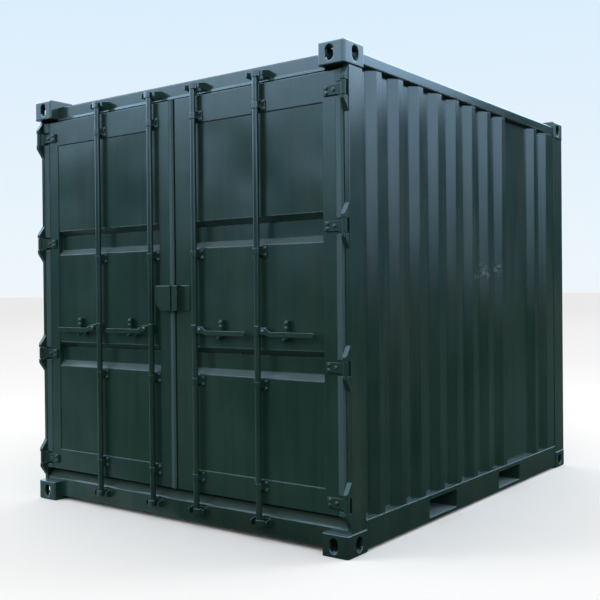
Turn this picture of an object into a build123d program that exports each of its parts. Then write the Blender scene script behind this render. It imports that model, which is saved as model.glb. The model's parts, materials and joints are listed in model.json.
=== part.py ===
from build123d import *
import os

os.makedirs("parts", exist_ok=True)

# Outside of the container, a standard 10 ft unit
LENGTH = 2991.0
WIDTH = 2438.0
HEIGHT = 2591.0
FRONT = -LENGTH / 2
REAR = LENGTH / 2
SIDE = WIDTH / 2

# Cast corner fittings
CASTING_X = 162.0
CASTING_Y = 178.0
CASTING_Z = 118.0
CASTING_WALL = 16.0
CASTING_PLATE = 28.0
CASTING_RADIUS = 20.0
CASTING_CHAMFER = 7.0
LOCK_SLOT_LENGTH = 124.5
LOCK_SLOT_WIDTH = 63.5
LOCK_SLOT_FROM_SIDE = 89.5
LOCK_SLOT_FROM_END = 102.0
FACE_SLOT_HEIGHT = 79.5
SIDE_SLOT_WIDTH = 63.5
END_SLOT_WIDTH = 51.0

# Frame of posts and rails, set back from the castings' faces
FRAME_INSET = 6.0
FRAME_SHEET = 6.0
FRAME_FACE = SIDE - FRAME_INSET
POST_FRONT = 47.0
POST_LIP = 27.0
POST_CHANNEL_FRONT = 118.0
POST_CHANNEL_REACH = 133.0
POST_CHANNEL_WALL = 10.0
POST_BEND = 5.0
REAR_POST_REACH = 138.0
REAR_POST_RETURN = 40.0
TOP_RAIL = 60.0
TOP_RAIL_WALL = 3.0
ROOF_BELOW_TOP = 41.0
ROOF_LEVEL = HEIGHT - ROOF_BELOW_TOP
BOTTOM_RAIL_LOW = 15.0
BOTTOM_RAIL_TOP = 165.0
BOTTOM_RAIL_SHEET = 4.5
BOTTOM_RAIL_TOP_FLANGE = 48.0
BOTTOM_RAIL_LOW_FLANGE = 30.0

# Door header and door sill
HEADER_FRONT = 75.0
HEADER_BACK = 175.0
HEADER_BELOW_TOP = 128.0
HEADER_LOW = HEIGHT - HEADER_BELOW_TOP
HEADER_SHEET = 4.0
GUTTER_REACH = 13.0
GUTTER_RISE = 17.0
SILL_FRONT = 52.0
SILL_BACK = 150.0
SILL_LOW = 28.0
SILL_SHOULDER = 136.0
SILL_TOP = 178.0
SILL_SLOPE = 50.0
SILL_SHEET = 4.0
SILL_OPENING = 50.0
SILL_REACH = FRAME_FACE - POST_LIP
REAR_SILL_DEPTH = 46.0

# Corrugated sheet of the walls
SHEET = 2.0
CREST_INSET = 4.0
FOLD_DEPTH = 36.0
FOLD_PITCH = 225.0
CREST_FLAT = 52.0
VALLEY_FLAT = 58.0
FOLD_SLOPE = (FOLD_PITCH - CREST_FLAT - VALLEY_FLAT) / 2
FIRST_VALLEY = 84.0
WIDE_VALLEY = 386.0

# Roof sheet with pressed cross ribs
ROOF_RIB_HEIGHT = 18.0
ROOF_RIB_MARGIN = 133.0
ROOF_RIB_WIDTH = 140.0
ROOF_RIB_PITCH = 209.0
ROOF_RIB_TAPER = 40.0
ROOF_EDGE = 10.0

# Floor and underframe
FLOOR_TOP = 175.0
FLOOR_THICKNESS = 28.0
FLOOR_SIDE_GAP = 8.0
FLOOR_END_GAP = 2.0
CROSS_FLANGE = 45.0
CROSS_SHEET = 4.0
POCKET_SPACING = 950.0
POCKET_WIDTH = 340.0
POCKET_LOW = 36.0
POCKET_TOP = 139.0
POCKET_SHEET = 4.0
POCKET_STRAP = 200.0
POCKET_STRAP_SHEET = 6.0

# Door leaves
LEAF_FRONT = 50.0
LEAF_DEPTH = 55.0
LEAF_LOW = 200.0
LEAF_TOP_GAP = 8.0
LEAF_SIDE_GAP = 6.0
LEAF_GAP = 5.0
LEAF_TOP = HEADER_LOW - LEAF_TOP_GAP
LEAF_OUTER = FRAME_FACE - POST_LIP - LEAF_SIDE_GAP
STILE_INNER = 120.0
STILE_OUTER = 130.0
STILE_BEND = 6.0
TOP_MEMBER = 155.0
LOW_MEMBER = 130.0
MEMBER_SHEET = 4.0
PANEL_INSET = 4.0
PANEL_FOLD_HEIGHT = 153.0
PANEL_FOLD_DEPTH = 36.0
PANEL_FOLD_SLOPE = 34.0
GASKET_WIDTH = 22.0
GASKET_DEPTH = 10.0
GASKET_INSET = 2.0
STRIP_NEAR = 7.0
STRIP_FAR = 57.0
STRIP_BEVEL = 9.0
STRIP_THICKNESS = 6.0
STRIP_END_GAP = 2.0

# Hinges, four to a door
PIN_X = FRAME_FACE - POST_LIP / 2
PIN_Y = 20.0
PIN_RADIUS = 7.0
PIN_CLEARANCE = 0.5
LOW_HINGE_RISE = 66.0
TOP_HINGE_DROP = 103.0
MIDDLE_HINGE_SPREAD = 10.0
EAR_BASE = 231.0
EAR_NOSE = 112.0
EAR_FRONT = 4.0
EAR_CHAMFER = 6.0
BLADE_CLEARANCE = 3.0
BLADE_KNUCKLE = 72.0
BLADE_HEIGHT = 52.0
BLADE_THICKNESS = 12.0
BLADE_REACH = 115.0
BLADE_FLARE = 32.0
BLADE_BEND_FRONT = 29.0
BLADE_BEND_BACK = 24.0
NECK_FRONT = 12.6
NECK_FRONT_SET = 2.8
NECK_BACK = 9.1
NECK_BACK_SET = 10.5
KNUCKLE_RADIUS = 14.0
KNUCKLE_SIDES = 12

# Lock rods with their cams, guides and keepers
ROD_FROM_SEAM = 170.0
ROD_FROM_HINGE = 548.0
ROD_Y = 22.0
ROD_RADIUS = 17.0
CAM_LOW_LEVEL = 100.0
CAM_BELOW_TOP = 88.0
CAM_HEIGHT = 32.0
CAM_COLLAR = 18.0
CAM_REACH = 38.0
CAM_NOSE = 9.0
CAM_CHAMFER = 7.0
GUIDE_HEIGHT = 34.0
GUIDE_WALL = 4.0
GUIDE_CLEARANCE = 0.5
GUIDE_PLATE_WIDTH = 96.0
GUIDE_PLATE_HEIGHT = 60.0
GUIDE_PLATE = 6.0
GUIDE_FROM_EDGE = 35.0
GUIDE_BELOW_FOLD = 36.0
KEEPER_INNER = 47.0
KEEPER_EAR = 10.0
KEEPER_HEIGHT = 42.0
KEEPER_NOSE = 26.0
KEEPER_PLATE = 4.0
KEEPER_FRONT = 12.0

# Handles and their catches
HANDLE_LEVEL = 1128.0
HUB_HEIGHT = 54.0
HUB_HALF = 18.0
HUB_CHAMFER = 6.0
TONGUE_REACH = 66.0
TONGUE_HEIGHT = 40.0
TONGUE_THICKNESS = 8.0
HANDLE_PIVOT = 48.0
HANDLE_THICKNESS = 12.0
HANDLE_GAP = 1.0
HANDLE_END_GAP = 77.0
HANDLE_DROP = 16.0
HANDLE_GRIP = 26.0
HANDLE_HEAD = 34.0
HANDLE_PIN = 6.0
HANDLE_PIN_SIDES = 8
HANDLE_PIN_CLEARANCE = 0.4
CATCH_RISE = 58.0
CATCH_CLEARANCE = 7.0
CATCH_FRONT = 8.0
CATCH_WIDTH = 24.0
CATCH_BAR = 14.0
CATCH_FOOT = 45.0
CATCH_BEHIND_HANDLE = 9.0

# Lock box, a wide half on the left leaf and a narrow one on the right
LOCK_BOX_GAP = 6.0
LOCK_BOX_LEFT = 124.0
LOCK_BOX_RIGHT = 46.0
LOCK_BOX_PLATE = 115.0
LOCK_BOX_CHAMFER = 42.0
LOCK_BOX_RISE = 107.0
LOCK_BOX_HEIGHT = 145.0
LOCK_BOX_FRONT = 10.0
LOCK_BOX_SHEET = 4.0


def behind(distance):
    """World y of a point that lies this far behind the door-end castings' faces."""
    return FRONT + distance


def save(piece, name):
    """Label a finished piece and write its file."""
    piece.part.label = name
    export_step(piece.part, f"parts/{name}.step")


def save_pair(piece, name):
    """Write the right-hand piece and its mirror image on the left."""
    save(piece, f"{name}_right")
    with BuildPart() as twin:
        add(mirror(piece.part, about=Plane.YZ))
    save(twin, f"{name}_left")


def save_both(piece, name):
    """Write the right-hand piece and its mirror image as one node."""
    with BuildPart() as both:
        add(piece.part)
        add(mirror(piece.part, about=Plane.YZ))
    save(both, name)


def fold_points(start, runs, crest, valley):
    """Zigzag of a folded sheet: (length of a flat, whether it is a valley) in turn."""
    points = []
    place = start
    for index, (flat, is_valley) in enumerate(runs):
        level = valley if is_valley else crest
        points.append((place, level))
        points.append((place + flat, level))
        place += flat + FOLD_SLOPE
    return points


# Corner castings: hollow blocks with a slot in each outer face
slot_x = SIDE - LOCK_SLOT_FROM_SIDE
slot_y = REAR - LOCK_SLOT_FROM_END
with BuildPart() as casting:
    with Locations((SIDE - CASTING_X / 2, REAR - CASTING_Y / 2, HEIGHT - CASTING_Z / 2)):
        Box(CASTING_X, CASTING_Y, CASTING_Z)
    end_edges = casting.faces().sort_by(Axis.Y)[-1].edges().filter_by(Axis.Z).sort_by(Axis.X)
    fillet(end_edges[-1:], CASTING_RADIUS)
    chamfer(end_edges[:1], CASTING_CHAMFER)
    top_edges = casting.faces().sort_by(Axis.Z)[-1].edges()
    chamfer(top_edges.filter_by(Axis.X).sort_by(Axis.Y)[-1:], CASTING_CHAMFER)
    cavity_height = CASTING_Z - CASTING_PLATE - CASTING_WALL
    cavity_middle = HEIGHT - CASTING_PLATE - cavity_height / 2
    with Locations((SIDE - CASTING_X / 2, REAR - CASTING_Y / 2, cavity_middle)):
        Box(CASTING_X - 2 * CASTING_WALL, CASTING_Y - 2 * CASTING_WALL, cavity_height, mode=Mode.SUBTRACT)
    with BuildSketch(Plane.XY.offset(HEIGHT)):
        with Locations((slot_x, slot_y)):
            SlotOverall(LOCK_SLOT_LENGTH, LOCK_SLOT_WIDTH, rotation=90)
    extrude(amount=-CASTING_PLATE, mode=Mode.SUBTRACT)
    with BuildSketch(Plane.YZ.offset(SIDE)):
        with Locations((slot_y, HEIGHT - CASTING_Z / 2)):
            SlotOverall(FACE_SLOT_HEIGHT, SIDE_SLOT_WIDTH, rotation=90)
    extrude(amount=-CASTING_WALL, mode=Mode.SUBTRACT)
    with BuildSketch(Plane.XZ.offset(-REAR)):
        with Locations((slot_x, HEIGHT - CASTING_Z / 2)):
            SlotOverall(FACE_SLOT_HEIGHT, END_SLOT_WIDTH, rotation=90)
    extrude(amount=CASTING_WALL, mode=Mode.SUBTRACT)

with BuildPart() as front_casting:
    add(mirror(casting.part, about=Plane.XZ))
with BuildPart() as low_casting:
    add(mirror(casting.part, about=Plane.XY.offset(HEIGHT / 2)))
with BuildPart() as low_front_casting:
    add(mirror(low_casting.part, about=Plane.XZ))
save_both(casting, "castings_rear_top")
save_both(front_casting, "castings_front_top")
save_both(low_casting, "castings_rear_low")
save_both(low_front_casting, "castings_front_low")

# Front corner posts: a J-shaped outer pressing that holds a channel
post_height = HEIGHT - 2 * CASTING_Z
channel_inner = FRAME_FACE - POST_CHANNEL_REACH
post_outline = [
    (FRAME_FACE - POST_LIP, behind(POST_FRONT)),
    (FRAME_FACE, behind(POST_FRONT)),
    (FRAME_FACE, behind(CASTING_Y)),
    (channel_inner, behind(CASTING_Y)),
    (channel_inner, behind(POST_CHANNEL_FRONT)),
    (FRAME_FACE - FRAME_SHEET, behind(POST_CHANNEL_FRONT)),
    (FRAME_FACE - FRAME_SHEET, behind(POST_FRONT + FRAME_SHEET)),
    (FRAME_FACE - POST_LIP, behind(POST_FRONT + FRAME_SHEET)),
]
channel_depth = CASTING_Y - POST_CHANNEL_FRONT
with BuildPart() as front_post:
    with BuildSketch(Plane.XY.offset(CASTING_Z)) as post_sketch:
        with BuildLine():
            Polyline(*post_outline, close=True)
        make_face()
        bends = post_sketch.vertices().group_by(Axis.X)[-1]
        fillet(bends, POST_BEND)
        hollow_width = POST_CHANNEL_REACH - POST_CHANNEL_WALL - FRAME_SHEET
        hollow_middle = channel_inner + POST_CHANNEL_WALL + hollow_width / 2
        hollow_depth = channel_depth - POST_CHANNEL_WALL - FRAME_SHEET
        hollow_back = behind(CASTING_Y) - FRAME_SHEET - hollow_depth / 2
        with Locations((hollow_middle, hollow_back)):
            Rectangle(hollow_width, hollow_depth, mode=Mode.SUBTRACT)
    extrude(amount=post_height)
save_pair(front_post, "front_post")

# Rear corner posts: one folded pressing
with BuildPart() as rear_post:
    with BuildSketch(Plane.XY.offset(CASTING_Z)):
        with BuildLine():
            post_line = Polyline(
                (FRAME_FACE - REAR_POST_RETURN, REAR - CASTING_Y),
                (FRAME_FACE, REAR - CASTING_Y),
                (FRAME_FACE, REAR - FRAME_INSET),
                (FRAME_FACE - REAR_POST_REACH, REAR - FRAME_INSET),
                (FRAME_FACE - REAR_POST_REACH, REAR - FRAME_INSET - REAR_POST_RETURN),
            )
            offset(post_line, amount=FRAME_SHEET, side=Side.LEFT, kind=Kind.INTERSECTION)
        make_face()
    extrude(amount=post_height)
save_pair(rear_post, "rear_post")

# Top side rails: square tube between the castings
rail_length = LENGTH - 2 * CASTING_Y
with BuildPart() as top_rail:
    with BuildSketch(Plane.XZ.offset(rail_length / 2)) as top_rail_section:
        with Locations((FRAME_FACE - TOP_RAIL / 2, ROOF_LEVEL - TOP_RAIL / 2)):
            Rectangle(TOP_RAIL, TOP_RAIL)
            fillet(top_rail_section.vertices().group_by(Axis.X)[-1], 2 * TOP_RAIL_WALL)
            Rectangle(TOP_RAIL - 2 * TOP_RAIL_WALL, TOP_RAIL - 2 * TOP_RAIL_WALL, mode=Mode.SUBTRACT)
    extrude(amount=-rail_length)
save_pair(top_rail, "top_rail")

# Bottom side rails: pressed channel with the fork pocket mouths cut through
rail_web = FRAME_FACE - BOTTOM_RAIL_SHEET
with BuildPart() as bottom_rail:
    with BuildSketch(Plane.XZ.offset(rail_length / 2)):
        with BuildLine():
            rail_line = Polyline(
                (FRAME_FACE - BOTTOM_RAIL_LOW_FLANGE, BOTTOM_RAIL_LOW),
                (FRAME_FACE, BOTTOM_RAIL_LOW),
                (FRAME_FACE, BOTTOM_RAIL_TOP),
                (FRAME_FACE - BOTTOM_RAIL_TOP_FLANGE, BOTTOM_RAIL_TOP),
            )
            offset(rail_line, amount=BOTTOM_RAIL_SHEET, side=Side.LEFT, kind=Kind.INTERSECTION)
        make_face()
    extrude(amount=-rail_length)
    with BuildSketch(Plane.YZ.offset(FRAME_FACE)):
        with Locations((-POCKET_SPACING / 2, (POCKET_LOW + POCKET_TOP) / 2),
                       (POCKET_SPACING / 2, (POCKET_LOW + POCKET_TOP) / 2)):
            Rectangle(POCKET_WIDTH, POCKET_TOP - POCKET_LOW)
    extrude(amount=-BOTTOM_RAIL_SHEET, mode=Mode.SUBTRACT)
save_pair(bottom_rail, "bottom_rail")

# Door header: box section with a rain gutter lip along its lower edge
header_half = SIDE - CASTING_X
header_profile = [
    (behind(HEADER_FRONT), ROOF_LEVEL),
    (behind(HEADER_FRONT), HEADER_LOW + GUTTER_RISE),
    (behind(HEADER_FRONT - GUTTER_REACH), HEADER_LOW + HEADER_SHEET),
    (behind(HEADER_FRONT - GUTTER_REACH), HEADER_LOW),
    (behind(HEADER_BACK), HEADER_LOW),
    (behind(HEADER_BACK), ROOF_LEVEL),
]
with BuildPart() as header:
    with BuildSketch(Plane.YZ.offset(-header_half)):
        with BuildLine():
            Polyline(*header_profile, close=True)
        make_face()
        hollow_height = ROOF_LEVEL - HEADER_LOW - GUTTER_RISE - HEADER_SHEET
        hollow_width = HEADER_BACK - HEADER_FRONT - 2 * HEADER_SHEET
        hollow_level = ROOF_LEVEL - HEADER_SHEET - hollow_height / 2
        with Locations((behind((HEADER_FRONT + HEADER_BACK) / 2), hollow_level)):
            Rectangle(hollow_width, hollow_height, mode=Mode.SUBTRACT)
    extrude(amount=2 * header_half)
save(header, "door_header")


def sill_outline(low, back):
    """Corner points of the sill's profile down to a level and back to a depth."""
    return [
        (behind(back), low),
        (behind(back), SILL_TOP),
        (behind(SILL_FRONT + SILL_SLOPE), SILL_TOP),
        (behind(SILL_FRONT), SILL_SHOULDER),
        (behind(SILL_FRONT), low),
    ]


# Door sill: pressed section with a sloping shoulder, which runs on over the castings to the posts
with BuildPart() as sill_end:
    with BuildSketch(Plane.YZ.offset(header_half)):
        with BuildLine():
            Polyline(*sill_outline(CASTING_Z, POST_CHANNEL_FRONT), close=True)
        make_face()
    extrude(amount=SILL_REACH - header_half)
    offset(amount=-SILL_SHEET, openings=sill_end.faces().sort_by(Axis.X)[:1], kind=Kind.INTERSECTION)
with BuildPart() as sill:
    with BuildSketch(Plane.YZ.offset(-header_half)) as sill_section:
        with BuildLine():
            Polyline(*sill_outline(SILL_LOW, SILL_BACK), close=True)
        make_face()
        offset(sill_section.sketch_local, amount=-SILL_SHEET, kind=Kind.INTERSECTION, mode=Mode.SUBTRACT)
        with Locations((behind(SILL_BACK - SILL_SHEET - SILL_OPENING / 2), SILL_LOW + SILL_SHEET / 2)):
            Rectangle(SILL_OPENING, SILL_SHEET, mode=Mode.SUBTRACT)
    extrude(amount=2 * header_half)
    add(sill_end.part)
    add(mirror(sill_end.part, about=Plane.YZ))
save(sill, "door_sill")

# Rear frame: square tube on top and a channel below
rear_face = REAR - FRAME_INSET
with BuildPart() as rear_header:
    with BuildSketch(Plane.YZ.offset(-header_half)) as rear_header_section:
        with Locations((rear_face - TOP_RAIL / 2, ROOF_LEVEL - TOP_RAIL / 2)):
            Rectangle(TOP_RAIL, TOP_RAIL)
            fillet(rear_header_section.vertices().group_by(Axis.Y)[-1], 2 * TOP_RAIL_WALL)
            Rectangle(TOP_RAIL - 2 * TOP_RAIL_WALL, TOP_RAIL - 2 * TOP_RAIL_WALL, mode=Mode.SUBTRACT)
    extrude(amount=2 * header_half)
save(rear_header, "rear_header")

with BuildPart() as rear_sill:
    with BuildSketch(Plane.YZ.offset(-header_half)):
        with BuildLine():
            rear_sill_line = Polyline(
                (rear_face - REAR_SILL_DEPTH, BOTTOM_RAIL_LOW),
                (rear_face, BOTTOM_RAIL_LOW),
                (rear_face, BOTTOM_RAIL_TOP),
                (rear_face - REAR_SILL_DEPTH, BOTTOM_RAIL_TOP),
            )
            offset(rear_sill_line, amount=BOTTOM_RAIL_SHEET, side=Side.LEFT, kind=Kind.INTERSECTION)
        make_face()
    extrude(amount=2 * header_half)
save(rear_sill, "rear_sill")

# Side walls: one sheet folded into upright valleys, with one wide flat valley
crest_x = FRAME_FACE - CREST_INSET
valley_x = crest_x - FOLD_DEPTH
wall_height = ROOF_LEVEL - TOP_RAIL - BOTTOM_RAIL_TOP
wide_part = FOLD_PITCH - VALLEY_FLAT + WIDE_VALLEY + FOLD_PITCH + FOLD_SLOPE
side_rest = rail_length - FIRST_VALLEY - wide_part
side_count = int((side_rest - CREST_FLAT) // FOLD_PITCH)
last_crest = side_rest - side_count * FOLD_PITCH
side_runs = [(FIRST_VALLEY, True)]
for fold in range(side_count):
    side_runs += [(CREST_FLAT, False), (VALLEY_FLAT, True)]
side_runs += [(CREST_FLAT, False), (WIDE_VALLEY, True)]
side_runs += [(CREST_FLAT, False), (VALLEY_FLAT, True), (last_crest, False)]
side_folds = fold_points(behind(CASTING_Y), side_runs, crest_x, valley_x)
with BuildPart() as side_wall:
    with BuildSketch(Plane.XY.offset(BOTTOM_RAIL_TOP)):
        with BuildLine():
            wall_line = Polyline(*[(x, y) for y, x in side_folds])
            offset(wall_line, amount=SHEET, side=Side.LEFT, kind=Kind.INTERSECTION)
        make_face()
    extrude(amount=wall_height)
save_pair(side_wall, "side_wall")

# End wall: the same folds between the rear posts
end_half = FRAME_FACE - REAR_POST_REACH
end_crest = rear_face - CREST_INSET
end_valley = end_crest - FOLD_DEPTH
end_count = int((2 * end_half - CREST_FLAT) // FOLD_PITCH)
end_margin = end_half - (end_count * FOLD_PITCH - CREST_FLAT - 2 * FOLD_SLOPE) / 2 - FOLD_SLOPE
end_runs = [(end_margin, False), (VALLEY_FLAT, True)]
for fold in range(end_count - 1):
    end_runs += [(CREST_FLAT, False), (VALLEY_FLAT, True)]
end_runs += [(end_margin, False)]
end_folds = fold_points(-end_half, end_runs, end_crest, end_valley)
with BuildPart() as end_wall:
    with BuildSketch(Plane.XY.offset(BOTTOM_RAIL_TOP)):
        with BuildLine():
            end_line = Polyline(*end_folds)
            offset(end_line, amount=SHEET, side=Side.RIGHT, kind=Kind.INTERSECTION)
        make_face()
    extrude(amount=wall_height)
    with Locations((SIDE - CASTING_X / 2, REAR - CASTING_Y / 2, HEIGHT - CASTING_Z / 2),
                   (CASTING_X / 2 - SIDE, REAR - CASTING_Y / 2, HEIGHT - CASTING_Z / 2)):
        Box(CASTING_X, CASTING_Y, CASTING_Z, mode=Mode.SUBTRACT)
save(end_wall, "end_wall")

# Roof: flat sheet on the rails with hollow cross ribs pressed up
roof_half = FRAME_FACE - ROOF_EDGE
roof_front = behind(HEADER_FRONT)
roof_back = rear_face
rib_length = 2 * (roof_half - ROOF_RIB_MARGIN)
rib_count = int(rail_length // ROOF_RIB_PITCH)
with BuildPart() as roof:
    with BuildSketch(Plane.XY.offset(ROOF_LEVEL)) as roof_outline:
        with Locations((0, (roof_front + roof_back) / 2)):
            Rectangle(2 * header_half, roof_back - roof_front)
        Rectangle(2 * roof_half, rail_length)
    extrude(amount=SHEET)
    with BuildSketch(Plane.XY.offset(ROOF_LEVEL + SHEET)):
        with GridLocations(0, ROOF_RIB_PITCH, 1, rib_count):
            Rectangle(rib_length, ROOF_RIB_WIDTH)
    extrude(amount=ROOF_RIB_HEIGHT, taper=ROOF_RIB_TAPER)
    with BuildSketch(Plane.XY.offset(ROOF_LEVEL)):
        with GridLocations(0, ROOF_RIB_PITCH, 1, rib_count):
            Rectangle(rib_length - SHEET, ROOF_RIB_WIDTH - SHEET)
    extrude(amount=ROOF_RIB_HEIGHT, taper=ROOF_RIB_TAPER, mode=Mode.SUBTRACT)
save(roof, "roof")

# Plywood floor on the cross members
floor_lip = behind(SILL_BACK) + FLOOR_END_GAP
floor_front = behind(CASTING_Y) + FLOOR_END_GAP
floor_back = rear_face - REAR_SILL_DEPTH - FLOOR_END_GAP
floor_half = valley_x - SHEET - FLOOR_SIDE_GAP
with BuildPart() as floor:
    with BuildSketch(Plane.XY.offset(FLOOR_TOP - FLOOR_THICKNESS)):
        with Locations((0, (floor_front + floor_back) / 2)):
            Rectangle(2 * floor_half, floor_back - floor_front)
        with Locations((0, (floor_lip + floor_back) / 2)):
            Rectangle(2 * (channel_inner - FLOOR_END_GAP), floor_back - floor_lip)
    extrude(amount=FLOOR_THICKNESS)
save(floor, "floor")

# Cross members: channels at thirds of the bays beside and between the fork pockets
cross_low = BOTTOM_RAIL_LOW + BOTTOM_RAIL_SHEET
cross_height = FLOOR_TOP - FLOOR_THICKNESS - cross_low
pocket_outer = POCKET_WIDTH + 2 * POCKET_SHEET
bay_end = behind(SILL_BACK)
bay = -(POCKET_SPACING + pocket_outer) / 2 - bay_end
cross_places = [bay_end + bay / 3, bay_end + 2 * bay / 3, (pocket_outer - POCKET_SPACING) / 6]
with BuildPart() as cross_members:
    with BuildSketch(Plane.YZ.offset(-rail_web)):
        for place in cross_places:
            for direction in (1, -1):
                with Locations((direction * place, cross_low + cross_height / 2)):
                    Rectangle(CROSS_FLANGE, cross_height)
                with Locations((direction * (place + CROSS_SHEET), cross_low + cross_height / 2)):
                    Rectangle(CROSS_FLANGE, cross_height - 2 * CROSS_SHEET, mode=Mode.SUBTRACT)
    extrude(amount=2 * rail_web)
save(cross_members, "cross_members")

# Fork pockets: tunnels through the underframe with straps under their mouths
pocket_roof = POCKET_TOP + POCKET_SHEET
with BuildPart() as fork_pockets:
    with BuildSketch(Plane.YZ.offset(-rail_web)):
        for place in (-POCKET_SPACING / 2, POCKET_SPACING / 2):
            with Locations((place, (cross_low + pocket_roof) / 2)):
                Rectangle(pocket_outer, pocket_roof - cross_low)
            with Locations((place, POCKET_TOP / 2)):
                Rectangle(POCKET_WIDTH, POCKET_TOP, mode=Mode.SUBTRACT)
    extrude(amount=2 * rail_web)
    strap_middle = POCKET_LOW - POCKET_STRAP_SHEET / 2
    with Locations(*[(x, y, strap_middle)
                     for x in (-rail_web + POCKET_STRAP / 2, rail_web - POCKET_STRAP / 2)
                     for y in (-POCKET_SPACING / 2, POCKET_SPACING / 2)]):
        Box(POCKET_STRAP, POCKET_WIDTH, POCKET_STRAP_SHEET)
save(fork_pockets, "fork_pockets")

# Hinge lugs on the front posts: two ears and a pin at each level
low_hinge = LEAF_LOW + LOW_HINGE_RISE
top_hinge = LEAF_TOP - TOP_HINGE_DROP
hinge_third = (top_hinge - low_hinge) / 3
middle_hinges = [low_hinge + hinge_third - MIDDLE_HINGE_SPREAD, top_hinge - hinge_third + MIDDLE_HINGE_SPREAD]
hinge_levels = [low_hinge, *middle_hinges, top_hinge]
with BuildPart() as hinge_lugs:
    for level in hinge_levels:
        with BuildSketch(Plane.YZ.offset(FRAME_FACE - POST_LIP)):
            with BuildLine():
                Polyline(
                    (behind(POST_FRONT), level - EAR_BASE / 2),
                    (behind(POST_FRONT), level + EAR_BASE / 2),
                    (behind(EAR_FRONT), level + EAR_NOSE / 2),
                    (behind(EAR_FRONT), level - EAR_NOSE / 2),
                    close=True,
                )
            make_face()
            with Locations((behind((EAR_FRONT + POST_FRONT) / 2), level)):
                Rectangle(POST_FRONT, BLADE_KNUCKLE + 2 * BLADE_CLEARANCE, mode=Mode.SUBTRACT)
        extrude(amount=POST_LIP)
    nose_edges = hinge_lugs.edges().filter_by(Axis.Z).group_by(Axis.Y)[0]
    chamfer(nose_edges, EAR_CHAMFER)
    for level in hinge_levels:
        with Locations((PIN_X, behind(PIN_Y), level)):
            Cylinder(PIN_RADIUS, EAR_NOSE)
save_both(hinge_lugs, "hinge_lugs")

# Cam keepers on the header and the sill: a plate with an ear each side of the cam
rods = {"inner": LEAF_GAP + ROD_FROM_SEAM, "outer": LEAF_OUTER - ROD_FROM_HINGE}
cam_top_level = HEIGHT - CAM_BELOW_TOP
keeper_width = 2 * (KEEPER_INNER + KEEPER_EAR)
with BuildPart() as cam_keepers:
    for level, face in ((CAM_LOW_LEVEL, SILL_FRONT), (cam_top_level, HEADER_FRONT)):
        for place in (*rods.values(), *[-x for x in rods.values()]):
            with Locations((place, behind(face - KEEPER_PLATE / 2), level)):
                Box(keeper_width, KEEPER_PLATE, KEEPER_HEIGHT)
            for ear_x in (place - KEEPER_INNER - KEEPER_EAR, place + KEEPER_INNER):
                with BuildSketch(Plane.YZ.offset(ear_x)):
                    with BuildLine():
                        Polyline(
                            (behind(face - KEEPER_PLATE), level - KEEPER_HEIGHT / 2),
                            (behind(face - KEEPER_PLATE), level + KEEPER_HEIGHT / 2),
                            (behind(KEEPER_FRONT), level + KEEPER_NOSE / 2),
                            (behind(KEEPER_FRONT), level - KEEPER_NOSE / 2),
                            close=True,
                        )
                    make_face()
                extrude(amount=KEEPER_EAR)
save(cam_keepers, "cam_keepers")

# Door frames: tube stiles with channels across the top and bottom
leaf_height = LEAF_TOP - LEAF_LOW
leaf_back = LEAF_FRONT + LEAF_DEPTH
leaf_middle = behind(LEAF_FRONT + LEAF_DEPTH / 2)
inner_edge = LEAF_GAP + STILE_INNER
outer_edge = LEAF_OUTER - STILE_OUTER
with BuildPart() as door_frame:
    with BuildSketch(Plane.XY.offset(LEAF_LOW)) as stiles:
        with Locations((LEAF_GAP + STILE_INNER / 2, leaf_middle)):
            Rectangle(STILE_INNER, LEAF_DEPTH)
        with Locations((LEAF_OUTER - STILE_OUTER / 2, leaf_middle)):
            Rectangle(STILE_OUTER, LEAF_DEPTH)
        fillet(stiles.vertices().group_by(Axis.X)[-1], STILE_BEND)
        with Locations((LEAF_GAP + STILE_INNER / 2, leaf_middle)):
            Rectangle(STILE_INNER - 2 * MEMBER_SHEET, LEAF_DEPTH - 2 * MEMBER_SHEET, mode=Mode.SUBTRACT)
        with Locations((LEAF_OUTER - STILE_OUTER / 2, leaf_middle)):
            Rectangle(STILE_OUTER - 2 * MEMBER_SHEET, LEAF_DEPTH - 2 * MEMBER_SHEET, mode=Mode.SUBTRACT)
    extrude(amount=leaf_height)
    with BuildSketch(Plane.YZ.offset(inner_edge)):
        for low, height in ((LEAF_LOW, LOW_MEMBER), (LEAF_TOP - TOP_MEMBER, TOP_MEMBER)):
            with Locations((leaf_middle, low + height / 2)):
                Rectangle(LEAF_DEPTH, height)
            with Locations((leaf_middle + MEMBER_SHEET, low + height / 2)):
                Rectangle(LEAF_DEPTH, height - 2 * MEMBER_SHEET, mode=Mode.SUBTRACT)
    extrude(amount=outer_edge - inner_edge)
save_pair(door_frame, "door_frame")

# Door panels: sheet with two level recesses folded across, in line with the middle hinges
panel_face = behind(LEAF_FRONT + PANEL_INSET)
fold_floor = panel_face + PANEL_FOLD_DEPTH
panel_points = [(panel_face, LEAF_LOW + LOW_MEMBER)]
for level in middle_hinges:
    panel_points += [
        (panel_face, level - PANEL_FOLD_HEIGHT / 2),
        (fold_floor, level - PANEL_FOLD_HEIGHT / 2 + PANEL_FOLD_SLOPE),
        (fold_floor, level + PANEL_FOLD_HEIGHT / 2 - PANEL_FOLD_SLOPE),
        (panel_face, level + PANEL_FOLD_HEIGHT / 2),
    ]
panel_points += [(panel_face, LEAF_TOP - TOP_MEMBER)]
with BuildPart() as door_panel:
    with BuildSketch(Plane.YZ.offset(inner_edge)):
        with BuildLine():
            panel_line = Polyline(*panel_points)
            offset(panel_line, amount=SHEET, side=Side.RIGHT, kind=Kind.INTERSECTION)
        make_face()
    extrude(amount=outer_edge - inner_edge)
save_pair(door_panel, "door_panel")

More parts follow.
